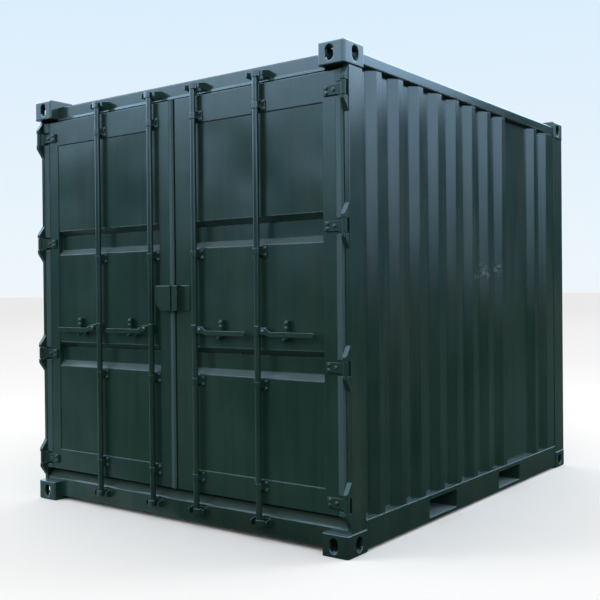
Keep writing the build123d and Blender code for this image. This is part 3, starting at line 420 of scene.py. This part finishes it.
def zinc_steel(name):
    """Zinc-plated screws: pale grey metal, spun bright and dulled by shoes."""
    colours, _, _ = settings()
    material, tree = new_material(name)
    place = add_node(tree, "ShaderNodeTexCoord").outputs["Object"]
    dull = add_node(tree, "ShaderNodeTexNoise", {"Vector": place, "Scale": 90.0, "Detail": 3.0})
    dull = add_node(tree, "ShaderNodeMapRange", {"Value": dull.outputs[0], "To Min": 0.35, "To Max": 0.6})
    shader = add_node(tree, "ShaderNodeBsdfPrincipled", {
        "Base Color": tuple(colours.zinc), "Metallic": 1.0, "Roughness": dull.outputs[0]})
    finish_material(tree, shader)
    return material


def dress(names, material):
    """Give these frame nodes the material."""
    for name in names:
        node = frame["nodes"][name]
        node.data.materials.clear()
        node.data.materials.append(material)


def both_sides(*stems):
    """The left and right names of each stem."""
    return [f"{stem}_{side}" for stem in stems for side in SIDES]


def merged_copy(name):
    """The node's mesh with its loose triangles joined, as a bmesh; the node itself stays as it is."""
    mesh = bmesh.new()
    mesh.from_mesh(frame["nodes"][name].data)
    bmesh.ops.remove_doubles(mesh, verts=mesh.verts, dist=1e-5)
    return mesh


def solids(name):
    """Lowest and highest corner of each separate solid of a node."""
    mesh = merged_copy(name)
    boxes = []
    left = set(mesh.verts)
    while left:
        stack = [left.pop()]
        group = []
        while stack:
            vert = stack.pop()
            group.append(vert.co.copy())
            for edge in vert.link_edges:
                other = edge.other_vert(vert)
                if other in left:
                    left.remove(other)
                    stack.append(other)
        boxes.append(tuple(Vector(pick(c[i] for c in group) for i in range(3)) for pick in (min, max)))
    mesh.free()
    # A set gives its points in no fixed order, so the solids are put in the order of their places
    return sorted(boxes, key=lambda box: [round(value, 4) for corner in box for value in corner])


def link(name, mesh, body):
    """A finished piece at the origin that rides on a body."""
    piece = bpy.data.objects.new(name, mesh)
    bpy.context.scene.collection.objects.link(piece)
    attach(piece, body)
    return piece


def grow(name, points, edges, facings, tree, values, body, slot):
    """Run a node tree on points and edges, and keep its result as a plain mesh on a body."""
    seedling = bpy.data.meshes.new(f"{name}_points")
    seedling.from_pydata(points, edges, [])
    if facings:
        attribute = seedling.attributes.new("facing", "FLOAT_VECTOR", "POINT")
        attribute.data.foreach_set("vector", [part for facing in facings for part in facing])
    carrier = bpy.data.objects.new(f"{name}_carrier", seedling)
    bpy.context.scene.collection.objects.link(carrier)
    modifier = carrier.modifiers.new("Grow", "NODES")
    modifier.node_group = tree
    for item in tree.interface.items_tree:
        if item.in_out == "INPUT" and item.name in values:
            modifier[item.identifier] = values[item.name]
    carrier.update_tag()
    graph = bpy.context.evaluated_depsgraph_get()
    mesh = bpy.data.meshes.new_from_object(carrier.evaluated_get(graph))
    mesh.name = name
    carrier.modifiers.remove(modifier)
    bpy.data.objects.remove(carrier)
    return link(name, mesh, body)


def new_tree(name, inputs):
    """A geometry node tree with a geometry input and these named inputs, and its two end nodes."""
    tree = bpy.data.node_groups.new(name, "GeometryNodeTree")
    tree.interface.new_socket("Geometry", in_out="INPUT", socket_type="NodeSocketGeometry")
    for label, kind in inputs.items():
        tree.interface.new_socket(label, in_out="INPUT", socket_type=kind)
    tree.interface.new_socket("Geometry", in_out="OUTPUT", socket_type="NodeSocketGeometry")
    return tree, add_node(tree, "NodeGroupInput").outputs


def end_tree(tree, geometry, material):
    """Realize what was made, give it the material and send it out."""
    real = add_node(tree, "GeometryNodeRealizeInstances", {"Geometry": geometry})
    dressed = add_node(tree, "GeometryNodeSetMaterial", {"Geometry": real.outputs[0], "Material": material})
    add_node(tree, "NodeGroupOutput", {"Geometry": dressed.outputs[0]})


def stand_on_points(tree, given, shape):
    """Stand the shape on every point along the point's facing, and send it out."""
    facing = add_node(tree, "GeometryNodeInputNamedAttribute", {"Name": "facing"}, data_type="FLOAT_VECTOR")
    turned = add_node(tree, "FunctionNodeAlignRotationToVector", {"Vector": facing.outputs["Attribute"]},
                      axis="Z")
    stood = add_node(tree, "GeometryNodeInstanceOnPoints", {
        "Points": given["Geometry"], "Instance": shape.outputs[0], "Rotation": turned.outputs[0]})
    end_tree(tree, stood.outputs[0], given["Material"])


def bolt_tree():
    """Hexagon head on a round washer at every point."""
    tree, given = new_tree("Hexagon bolts", {
        "Head": "NodeSocketFloat", "Rise": "NodeSocketFloat", "Material": "NodeSocketMaterial"})
    bolt = add_node(tree, "GeometryNodeJoinGeometry")

    # Washer, then head: sides, and the shares of the head's width and rise that give radius, depth and place
    for sides, radius, depth, place in ((16, 0.72, 0.3, 0.15), (6, 0.5, 1.0, 0.8)):
        radius, depth, place = (
            add_node(tree, "ShaderNodeMath", {0: given[label], 1: share}, operation="MULTIPLY").outputs[0]
            for label, share in (("Head", radius), ("Rise", depth), ("Rise", place)))
        drum = add_node(tree, "GeometryNodeMeshCylinder", {
            "Vertices": sides, "Radius": radius, "Depth": depth})
        lift = add_node(tree, "ShaderNodeCombineXYZ", {"Z": place})
        drum = add_node(tree, "GeometryNodeTransform", {
            "Geometry": drum.outputs["Mesh"], "Translation": lift.outputs[0]})
        tree.links.new(drum.outputs[0], bolt.inputs["Geometry"])
    stand_on_points(tree, given, bolt)
    return tree


def dome_tree():
    """Low domed head at every point."""
    tree, given = new_tree("Domed heads", {
        "Head": "NodeSocketFloat", "Flatness": "NodeSocketFloat", "Material": "NodeSocketMaterial"})
    half = add_node(tree, "ShaderNodeMath", {0: given["Head"], 1: 0.5}, operation="MULTIPLY")
    ball = add_node(tree, "GeometryNodeMeshUVSphere", {
        "Segments": 14, "Rings": 8, "Radius": half.outputs[0]})
    squash = add_node(tree, "ShaderNodeCombineXYZ", {"X": 1.0, "Y": 1.0, "Z": given["Flatness"]})
    dome = add_node(tree, "GeometryNodeTransform", {
        "Geometry": ball.outputs["Mesh"], "Scale": squash.outputs[0]})
    stand_on_points(tree, given, dome)
    return tree


def bead_tree():
    """Round bead along every edge, its thickness rippling from step to step."""
    tree, given = new_tree("Weld beads", {
        "Radius": "NodeSocketFloat", "Step": "NodeSocketFloat", "Seed": "NodeSocketInt",
        "Material": "NodeSocketMaterial"})
    line = add_node(tree, "GeometryNodeMeshToCurve", {"Mesh": given["Geometry"]})
    steps = add_node(tree, "GeometryNodeResampleCurve", {"Curve": line.outputs[0], "Length": given["Step"]},
                     mode="LENGTH")
    ripple = add_node(tree, "FunctionNodeRandomValue", {"Seed": given["Seed"]}, data_type="FLOAT")
    ripple = add_node(tree, "ShaderNodeMapRange", {
        "Value": ripple.outputs[1], "To Min": 0.75, "To Max": 1.1})
    thick = add_node(tree, "GeometryNodeSetCurveRadius", {
        "Curve": steps.outputs[0], "Radius": ripple.outputs[0]})
    ring = add_node(tree, "GeometryNodeCurvePrimitiveCircle", {"Resolution": 6, "Radius": given["Radius"]})
    bead = add_node(tree, "GeometryNodeCurveToMesh", {
        "Curve": thick.outputs[0], "Profile Curve": ring.outputs[0], "Scale": ripple.outputs[0],
        "Fill Caps": True})
    end_tree(tree, bead.outputs[0], given["Material"])
    return tree


def runs_to_mesh(runs):
    """Points and edges of several polylines."""
    points, edges = [], []
    for run in runs:
        start = len(points)
        points += [tuple(point) for point in run]
        edges += [(start + i, start + i + 1) for i in range(len(run) - 1)]
    return points, edges


def folded_line(name, level, outward):
    """The outer line of a folded wall at one level, from its own corners, in order along the wall."""
    mesh = merged_copy(name)
    across = 0 if abs(outward[0]) > 0.5 else 1
    along = 1 - across
    sign = outward[across]
    at_level = [v.co.copy() for v in mesh.verts if abs(v.co.z - level) < 1e-4]
    mesh.free()
    ranks = sorted({round(co[across] * sign, 4) for co in at_level}, reverse=True)
    outer = [ranks[0], ranks[len(ranks) // 2]]
    return sorted((co for co in at_level if round(co[across] * sign, 4) in outer), key=lambda co: co[along])


def plain_floor(name):
    """Studio floor: plain and pale for the camera, a darker blue grey in what it throws on the paint."""
    colours, _, _ = settings()
    material, tree = new_material(name)
    place = add_node(tree, "ShaderNodeTexCoord").outputs["Object"]
    away = add_node(tree, "ShaderNodeVectorMath", {0: place}, operation="LENGTH")
    away = add_node(tree, "ShaderNodeMapRange", {
        "Value": away.outputs["Value"], "From Min": 3.0, "From Max": 60.0}, interpolation_type="SMOOTHSTEP")
    seen = add_node(tree, "ShaderNodeMix", {
        MIX_FACTOR: away.outputs[0], MIX_FIRST: tuple(colours.ground),
        MIX_SECOND: tuple(colours.ground_far)}, data_type="RGBA")

    # Paler at the left, where a spot is less than about half as far in front of the doors as out to the left
    spot = add_node(tree, "ShaderNodeSeparateXYZ", {"Vector": place})
    ahead = add_node(tree, "ShaderNodeMath", {0: spot.outputs["Y"], 1: -cad_box[0][1]}, operation="ADD")
    slant = add_node(tree, "ShaderNodeMath", {0: ahead.outputs[0], 1: spot.outputs["X"]}, operation="DIVIDE")
    left = add_node(tree, "ShaderNodeMapRange", {
        "Value": slant.outputs[0], "From Min": 0.68, "From Max": 0.45}, interpolation_type="SMOOTHSTEP")
    outside = add_node(tree, "ShaderNodeMath", {0: spot.outputs["X"], 1: 0.0}, operation="LESS_THAN")
    left = add_node(tree, "ShaderNodeMath", {0: left.outputs[0], 1: outside.outputs[0]},
                    operation="MULTIPLY")
    bounce = add_node(tree, "ShaderNodeMix", {
        MIX_FACTOR: left.outputs[0], MIX_FIRST: tuple(colours.ground_bounce),
        MIX_SECOND: tuple(colours.ground_left)}, data_type="RGBA")
    ray = add_node(tree, "ShaderNodeLightPath").outputs["Is Camera Ray"]
    tone = add_node(tree, "ShaderNodeMix", {
        MIX_FACTOR: ray, MIX_FIRST: bounce.outputs[MIX_RESULT], MIX_SECOND: seen.outputs[MIX_RESULT]},
        data_type="RGBA")
    finish_material(tree, add_node(tree, "ShaderNodeBsdfDiffuse", {"Color": tone.outputs[MIX_RESULT]}))
    return material


def hang_backdrop(world):
    """Pale for the camera, plain white light for all dull faces, and a mirrored sky for the gloss."""
    colours, _, stage = settings()
    world.use_nodes = True
    tree = world.node_tree
    tree.nodes.clear()
    way = add_node(tree, "ShaderNodeTexCoord").outputs["Generated"]
    way = add_node(tree, "ShaderNodeSeparateXYZ", {"Vector": way})
    rise = add_node(tree, "ShaderNodeMapRange", {
        "Value": way.outputs["Z"], "From Min": 0.0, "From Max": 0.3})
    seen = add_node(tree, "ShaderNodeMix", {
        MIX_FACTOR: rise.outputs[0], MIX_FIRST: tuple(colours.sky_low), MIX_SECOND: tuple(colours.sky_high)},
        data_type="RGBA")

    # The skyline is high ahead and behind, and low at both sides
    side = add_node(tree, "ShaderNodeMapRange", {"Value": way.outputs["X"], "From Min": -1.0})
    skyline = add_node(tree, "ShaderNodeValToRGB", {"Fac": side.outputs[0]})
    ramp = skyline.color_ramp.elements
    for _ in SKYLINE[2:]:
        ramp.new(1.0)
    for stop, (across, height) in zip(ramp, SKYLINE):
        stop.position = (across + 1) / 2
        stop.color = (height, height, height, 1.0)
    above = add_node(tree, "ShaderNodeMapRange", {
        "Value": way.outputs["Z"], "From Min": skyline.outputs["Color"], "From Max": 0.25})

    # Under it a dim band, all but black towards the back and left; over it the sky, brighter overhead
    under = add_node(tree, "ShaderNodeMapRange", {
        "Value": way.outputs["X"], "From Min": 0.34, "From Max": 0.5, "To Min": 0.1})
    back = add_node(tree, "ShaderNodeMath", {0: way.outputs["Y"], 1: 0.0}, operation="LESS_THAN")
    under = add_node(tree, "ShaderNodeMath", {0: under.outputs[0], 1: back.outputs[0]}, operation="MAXIMUM")
    low = add_node(tree, "ShaderNodeVectorMath", {
        0: tuple(colours.mirrored_low), "Scale": under.outputs[0]}, operation="SCALE")
    overhead = add_node(tree, "ShaderNodeMapRange", {
        "Value": way.outputs["Z"], "From Min": 0.35, "From Max": 0.65, "To Min": stage.sky,
        "To Max": 1.3 * stage.sky})
    sky = add_node(tree, "ShaderNodeVectorMath", {
        0: tuple(colours.mirrored_sky), "Scale": overhead.outputs[0]}, operation="SCALE")
    mirrored = add_node(tree, "ShaderNodeMix", {
        MIX_FACTOR: above.outputs[0], MIX_FIRST: low.outputs[0], MIX_SECOND: sky.outputs[0]},
        data_type="RGBA")

    lit = add_node(tree, "ShaderNodeBackground", {"Color": (1.0, 1.0, 1.0), "Strength": stage.room})
    glossy = add_node(tree, "ShaderNodeBackground", {"Color": mirrored.outputs[MIX_RESULT]})
    plain = add_node(tree, "ShaderNodeBackground", {"Color": seen.outputs[MIX_RESULT]})
    ray = add_node(tree, "ShaderNodeLightPath")
    either = add_node(tree, "ShaderNodeMixShader", {
        0: ray.outputs["Is Glossy Ray"], 1: lit.outputs[0], 2: glossy.outputs[0]})
    either = add_node(tree, "ShaderNodeMixShader", {
        0: ray.outputs["Is Camera Ray"], 1: either.outputs[0], 2: plain.outputs[0]})
    add_node(tree, "ShaderNodeOutputWorld", {"Surface": either.outputs[0]})


def broad_lamp(name, power):
    """One of the broad soft lamps, aimed at its point and left out of mirror images."""
    place, aim, width = LAMPS[name]
    lamp = bpy.data.lights.new(name, "AREA")
    lamp.shape = "DISK"
    lamp.size = width
    lamp.energy = power
    holder = bpy.data.objects.new(name, lamp)
    holder.location = place
    holder.rotation_euler = (Vector(aim) - Vector(place)).to_track_quat("-Z", "Y").to_euler()
    holder.visible_glossy = False
    return holder


def fitted_camera(stage):
    """The camera as it was fitted to the photograph."""
    yaw, pitch, roll = stage.camera_yaw, stage.camera_pitch, stage.camera_roll
    ahead = Vector((-math.sin(yaw) * math.cos(pitch), math.cos(yaw) * math.cos(pitch), math.sin(pitch)))
    right = Vector((math.cos(yaw), math.sin(yaw), 0.0))
    up = right.cross(ahead)
    across = right * math.cos(roll) + up * math.sin(roll)
    upright = up * math.cos(roll) - right * math.sin(roll)
    data = bpy.data.cameras.new("camera")
    data.sensor_width = stage.sensor
    data.lens = stage.focal / stage.picture * stage.sensor
    data.clip_end = CLIP_END
    camera = bpy.data.objects.new("camera", data)
    camera.location = stage.camera_place
    camera.rotation_euler = Matrix((across, upright, -ahead)).transposed().to_euler()
    return camera


class CONTAINER_OT_stage(bpy.types.Operator):
    """Set up the pale floor, the backdrop, two broad soft lamps and the camera"""

    bl_idname = "container.stage"
    bl_label = "Stage"

    def execute(self, context):
        _, _, stage = settings()
        scene = context.scene
        scene.view_settings.view_transform = "Standard"
        plane = bpy.data.meshes.new("ground")
        corners = [(FLOOR_REACH * x, FLOOR_REACH * y, 0) for x, y in ((-1, -1), (1, -1), (1, 1), (-1, 1))]
        plane.from_pydata(corners, [], [(0, 1, 2, 3)])
        plane.materials.append(plain_floor("plain_pale_floor"))
        ground = bpy.data.objects.new("ground", plane)
        scene.world = scene.world or bpy.data.worlds.new("World")
        hang_backdrop(scene.world)
        camera = fitted_camera(stage)
        for each in (ground, broad_lamp("key", stage.key), broad_lamp("fill", stage.fill), camera):
            scene.collection.objects.link(each)
        scene.camera = camera
        return {"FINISHED"}


class CONTAINER_OT_castings(bpy.types.Operator):
    """Paint the eight corner castings"""

    bl_idname = "container.castings"
    bl_label = "Corner castings"

    def execute(self, context):
        paint = paint_on_steel("gloss_paint_on_cast_steel", wear=0.6, roughness=0.2, shine=0.6, bend=3.0,
                               grain=0.0006, rust=0.4, dust_and_sheen=0.35)
        dress([f"castings_{end}_{level}" for end in ("front", "rear") for level in ("top", "low")], paint)
        return {"FINISHED"}


class CONTAINER_OT_posts_and_rails(bpy.types.Operator):
    """Paint the posts, rails, header, sill and underframe"""

    bl_idname = "container.posts_and_rails"
    bl_label = "Posts and rails"

    def execute(self, context):
        paint = paint_on_steel("gloss_paint_on_pressed_steel", dent=0.0015, dent_width=0.3, streak=0.25,
                               wear=0.45, roughness=0.14, bend=2.5, film=0.22, film_foot=-1.0, rust=0.35)
        dress(both_sides("front_post", "rear_post", "top_rail", "bottom_rail"), paint)
        dress(["door_header", "door_sill", "rear_header", "rear_sill"], paint)
        # Heavy pale dust on upward straps also paints the sky's highlight inside the fork pockets
        under = paint_on_steel("road_dirt_and_sheen_on_underframe_paint", streak=0.5, wear=0.3, roughness=0.5,
                               shine=0.2, rust=0.5, dust_and_sheen=0.85)
        dress(["cross_members", "fork_pockets"], under)
        return {"FINISHED"}


class CONTAINER_OT_walls_and_roof(bpy.types.Operator):
    """Paint the folded walls and the ribbed roof"""

    bl_idname = "container.walls_and_roof"
    bl_label = "Walls and roof"

    def execute(self, context):
        wall = paint_on_steel("gloss_paint_on_folded_sheet", dent=0.002, dent_width=0.5, streak=0.4,
                              wear=0.25, roughness=0.13, bend=4.0, film=0.3, scuffs=SCUFFS)
        dress(both_sides("side_wall") + ["end_wall"], wall)
        top = paint_on_steel("chalked_paint_on_roof_sheet", dent=0.004, dent_width=0.6, streak=0.1, wear=0.3,
                             roughness=0.6, shine=0.15, dust_and_sheen=0.4)
        dress(["roof"], top)
        return {"FINISHED"}


class CONTAINER_OT_doors(bpy.types.Operator):
    """Paint the door frames, panels, lock box and seam strip, and give the seals their rubber"""

    bl_idname = "container.doors"
    bl_label = "Doors"

    def execute(self, context):
        # The pale dust on the panels' upward ledges also paints the highlight of the sky there
        panel = paint_on_steel("gloss_paint_on_door_sheet", dent=0.028, dent_width=0.6, streak=0.3, wear=0.3,
                               roughness=0.2, shine=0.32, bend=3.0, dust_and_sheen=0.5)
        dress(both_sides("door_panel"), panel)
        rim = paint_on_steel("gloss_paint_on_door_tube", dent=0.002, dent_width=0.25, streak=0.25, wear=0.4,
                             roughness=0.2, shine=0.4, bend=2.0)
        dress(both_sides("door_frame", "lock_box") + ["seam_strip"], rim)
        dress(both_sides("door_gasket"), sponge_rubber("sponge_seal_rubber"))
        return {"FINISHED"}


class CONTAINER_OT_seal_lips(bpy.types.Operator):
    """Run the painted seal lips up the doors' outer edges, between the hinges, and beside the seam"""

    bl_idname = "container.seal_lips"
    bl_label = "Seal lips"

    def execute(self, context):
        colours, sizes, _ = settings()
        paint = paint_on_steel("greyed_paint_on_seal_rubber", streak=0.35, wear=0.2, roughness=0.4,
                               shine=0.25, bend=2.0, rust=0.0, base=colours.lip)
        for side, sign in SIDES.items():
            low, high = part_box(f"door_frame_{side}")
            outer, face = (high.x if sign > 0 else low.x), low.y
            rests = sorted((lo.z - LIP_BLADE_GAP, hi.z + LIP_BLADE_GAP)
                           for lo, hi in solids(f"hinge_blades_{side}"))
            feet = [low.z] + [top for _, top in rests]
            heads = [foot for foot, _ in rests] + [high.z]
            bars = [(outer + sign * LIP_COVER, -sign * sizes.edge_lip, foot, head)
                    for foot, head in zip(feet, heads) if head > foot]
            if side == "left":
                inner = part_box("seam_strip")[1].x + LIP_STRIP_COVER
                bars += [(inner, -sizes.lip, lo.z, hi.z) for lo, hi in solids("seam_strip")]
            mesh = bmesh.new()
            for edge, width, foot, head in bars:
                ridge = (edge + LIP_RIDGE * width, face - sizes.lip_rise)
                outline = [(edge, face), ridge, (edge + width, face)]
                rings = [[mesh.verts.new((x, y, z)) for x, y in outline] for z in (foot, head)]
                for i in range(3):
                    mesh.faces.new((rings[0][i - 1], rings[0][i], rings[1][i], rings[1][i - 1]))
                mesh.faces.new(rings[0])
                mesh.faces.new(rings[1])
            bmesh.ops.recalc_face_normals(mesh, faces=mesh.faces)
            lips = bpy.data.meshes.new(f"seal_lips_{side}")
            mesh.to_mesh(lips)
            mesh.free()
            lips.materials.append(paint)
            piece = link(f"seal_lips_{side}", lips, f"{side}_door")
            if side == "left":
                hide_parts("seam_strip")
        return {"FINISHED"}


class CONTAINER_OT_lock_gear(bpy.types.Operator):
    """Paint the hinges, lock rods, cams, keepers, guides, catches and handles"""

    bl_idname = "container.lock_gear"
    bl_label = "Hinges and lock gear"

    def execute(self, context):
        gear = paint_on_steel("gloss_paint_on_forged_steel", streak=0.2, wear=0.6, roughness=0.15,
                              grain=0.0003, rust=0.45)
        dress(["cam_keepers"] + both_sides("door_fittings"), gear)
        dress(both_sides(*(f"{stem}_{rod}" for stem in ("lock_rod", "handle") for rod in RODS)), gear)
        hinges = paint_on_steel("gloss_paint_on_hinge_forgings", streak=0.2, wear=0.6, roughness=0.3,
                                shine=0.22, grain=0.0003, rust=0.45)
        dress(["hinge_lugs"] + both_sides("hinge_blades"), hinges)
        return {"FINISHED"}


class CONTAINER_OT_floor_boards(bpy.types.Operator):
    """Give the floor its plywood and screw it to the cross members"""

    bl_idname = "container.floor_boards"
    bl_label = "Floor boards"

    def execute(self, context):
        _, sizes, _ = settings()
        dress(["floor"], oiled_plywood("oiled_hardwood_plywood", sizes.board))
        low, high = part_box("floor")
        rows = [(lo.y + hi.y) / 2 for lo, hi in solids("cross_members")]
        count = int((high.x - low.x - SCREW_MARGIN) // sizes.screw_pitch)
        spots = [((i - count / 2) * sizes.screw_pitch + SCREW_SHIFT, y, high.z)
                 for y in rows for i in range(count + 1)]
        heads = {
            "Head": sizes.screw, "Flatness": SCREW_FLATNESS, "Material": zinc_steel("zinc_plated_screw")}
        grow("floor_screws", spots, [], [(0, 0, 1)] * len(spots), dome_tree(), heads,
             "container", "floor_plywood")
        return {"FINISHED"}


class CONTAINER_OT_bolts(bpy.types.Operator):
    """Bolt the rod guides and hinge blades to the doors and rivet the handles to their hubs"""

    bl_idname = "container.bolts"
    bl_label = "Bolts and rivets"

    def execute(self, context):
        _, sizes, _ = settings()
        paint = paint_on_steel("gloss_paint_on_bolts", streak=0.0, wear=0.7, roughness=0.3, rust=0.5)
        hexagon, dome = bolt_tree(), dome_tree()
        for side, sign in SIDES.items():
            spots = []
            for low, high in solids(f"door_fittings_{side}"):
                middle = (low + high) / 2
                is_guide = high.x - low.x > GUIDE_LEAST_WIDTH and high.z - low.z < GUIDE_MOST_HEIGHT
                if is_guide:
                    spots += [(middle.x + dx, high.y - GUIDE_PLATE, middle.z + dz)
                              for dx in (-GUIDE_BOLT_ACROSS, GUIDE_BOLT_ACROSS)
                              for dz in (-GUIDE_BOLT_UP, GUIDE_BOLT_UP)]
                else:
                    spots += [(middle.x + sign * CATCH_BOLT_ACROSS, low.y + CATCH_FACE, high.z - drop)
                              for drop in CATCH_BOLT_DROPS]
            for low, high in solids(f"hinge_blades_{side}"):
                inner = low.x if sign > 0 else high.x
                middle = (low.z + high.z) / 2
                spots += [(inner + sign * reach, high.y - BLADE_SHEET, middle + dz)
                          for reach, dz in BLADE_BOLTS]
            heads = {"Head": sizes.bolt, "Rise": sizes.bolt_rise, "Material": paint}
            grow(f"bolts_{side}_door", spots, [], [(0, -1, 0)] * len(spots), hexagon, heads,
                 f"{side}_door", "gear_paint")
            for rod in RODS:
                handle = f"{side}_{rod}_handle"
                pivot = next(j["pos_m"] for j in frame["joints"] if j["child"] == handle)
                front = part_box(f"handle_{rod}_{side}")[0].y
                heads = {"Head": sizes.rivet, "Flatness": RIVET_FLATNESS, "Material": paint}
                grow(f"rivet_{side}_{rod}", [(pivot[0], front, pivot[2])], [], [(0, -1, 0)], dome, heads,
                     handle, "gear_paint")
        return {"FINISHED"}


def frame_runs():
    """Lines that the frame's weld beads follow."""
    runs = []
    for side, sign in SIDES.items():
        low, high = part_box(f"side_wall_{side}")
        runs += [folded_line(f"side_wall_{side}", level, (sign, 0, 0)) for level in (low.z, high.z)]
        for end in ("front", "rear"):
            low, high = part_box(f"{end}_post_{side}")
            outer, inner = (high.x, low.x) if sign > 0 else (low.x, high.x)
            lip = outer - sign * POST_LIP if end == "front" else inner
            face, back = (low.y, high.y) if end == "front" else (high.y, low.y)
            runs += [[(lip, face, level), (outer, face, level), (outer, back, level)]
                     for level in (low.z, high.z)]
        for stem in ("top_rail", "bottom_rail"):
            low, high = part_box(f"{stem}_{side}")
            outer = high.x if sign > 0 else low.x
            runs += [[(outer, y, low.z), (outer, y, high.z)] for y in (low.y, high.y)]
    low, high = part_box("end_wall")
    runs += [folded_line("end_wall", level, (0, 1, 0)) for level in (low.z, high.z)]
    for low, high in solids("cam_keepers"):
        y = high.y - KEEPER_PLATE + KEEPER_BEAD_DEPTH
        corners = [(low.x, low.z), (high.x, low.z), (high.x, high.z), (low.x, high.z), (low.x, low.z)]
        runs.append([(x, y, z) for x, z in corners])
    for low, high in solids("hinge_lugs"):
        runs += [[(x, high.y, low.z), (x, high.y, high.z)] for x in (low.x, high.x)]
    return runs


def door_runs(side):
    """Lines that a door's weld beads follow: up the pressed panel's edges, and along its foot and head."""
    low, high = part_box(f"door_panel_{side}")
    mesh = merged_copy(f"door_panel_{side}")
    profile = sorted({(round(v.co.z, 5), round(v.co.y, 5)) for v in mesh.verts})
    mesh.free()
    faces = sorted({y for _, y in profile})
    outer = {faces[0], faces[len(faces) // 2]}
    upright = [[(x, y, z) for z, y in profile if y in outer] for x in (low.x, high.x)]
    return upright + [[(low.x, low.y, z), (high.x, low.y, z)] for z in (low.z, high.z)]


class CONTAINER_OT_weld_seams(bpy.types.Operator):
    """Run weld beads where the frame, walls, door panels, lugs and keepers meet"""

    bl_idname = "container.weld_seams"
    bl_label = "Weld seams"

    def execute(self, context):
        _, sizes, _ = settings()
        paint = paint_on_steel("gloss_paint_on_weld", streak=0.0, wear=0.35, roughness=0.45, shine=0.15,
                               film=0.5, film_foot=-1.0, rust=0.5)
        tree = bead_tree()
        values = {"Radius": sizes.bead, "Step": sizes.bead_step, "Seed": sizes.seed, "Material": paint}
        grow("weld_seams_frame", *runs_to_mesh(frame_runs()), None, tree, values, "container", "frame_paint")
        for side in SIDES:
            grow(f"weld_seams_{side}_door", *runs_to_mesh(door_runs(side)), None, tree, values,
                 f"{side}_door", "door_paint")
        return {"FINISHED"}


class CONTAINER_PT_panel(bpy.types.Panel):
    """Lists the settings and the steps that dress the container"""

    bl_idname = "CONTAINER_PT_panel"
    bl_label = "Freight container"
    bl_space_type = "VIEW_3D"
    bl_region_type = "UI"
    bl_category = "Container"

    def draw(self, context):
        for step in STEPS:
            self.layout.operator(step.bl_idname, text=step.bl_label)
        for group in settings():
            box = self.layout.box()
            for name in group.bl_rna.properties.keys():
                if name not in ("rna_type", "name"):
                    box.prop(group, name)


STEPS = (
    CONTAINER_OT_stage, CONTAINER_OT_castings, CONTAINER_OT_posts_and_rails, CONTAINER_OT_walls_and_roof,
    CONTAINER_OT_doors, CONTAINER_OT_seal_lips, CONTAINER_OT_lock_gear, CONTAINER_OT_floor_boards,
    CONTAINER_OT_bolts, CONTAINER_OT_weld_seams,
)
CLASSES = (ContainerColours, ContainerSizes, ContainerStage, *STEPS, CONTAINER_PT_panel)


def register():
    for each in CLASSES:
        bpy.utils.register_class(each)
    bpy.types.Scene.container_colours = PointerProperty(type=ContainerColours)
    bpy.types.Scene.container_sizes = PointerProperty(type=ContainerSizes)
    bpy.types.Scene.container_stage = PointerProperty(type=ContainerStage)


def unregister():
    del bpy.types.Scene.container_stage
    del bpy.types.Scene.container_sizes
    del bpy.types.Scene.container_colours
    for each in reversed(CLASSES):
        bpy.utils.unregister_class(each)


def main():
    register()
    bpy.ops.container.stage()
    bpy.ops.container.castings()
    bpy.ops.container.posts_and_rails()
    bpy.ops.container.walls_and_roof()
    bpy.ops.container.doors()
    bpy.ops.container.seal_lips()
    bpy.ops.container.lock_gear()
    bpy.ops.container.floor_boards()
    bpy.ops.container.bolts()
    bpy.ops.container.weld_seams()


if __name__ == "__main__":
    main()
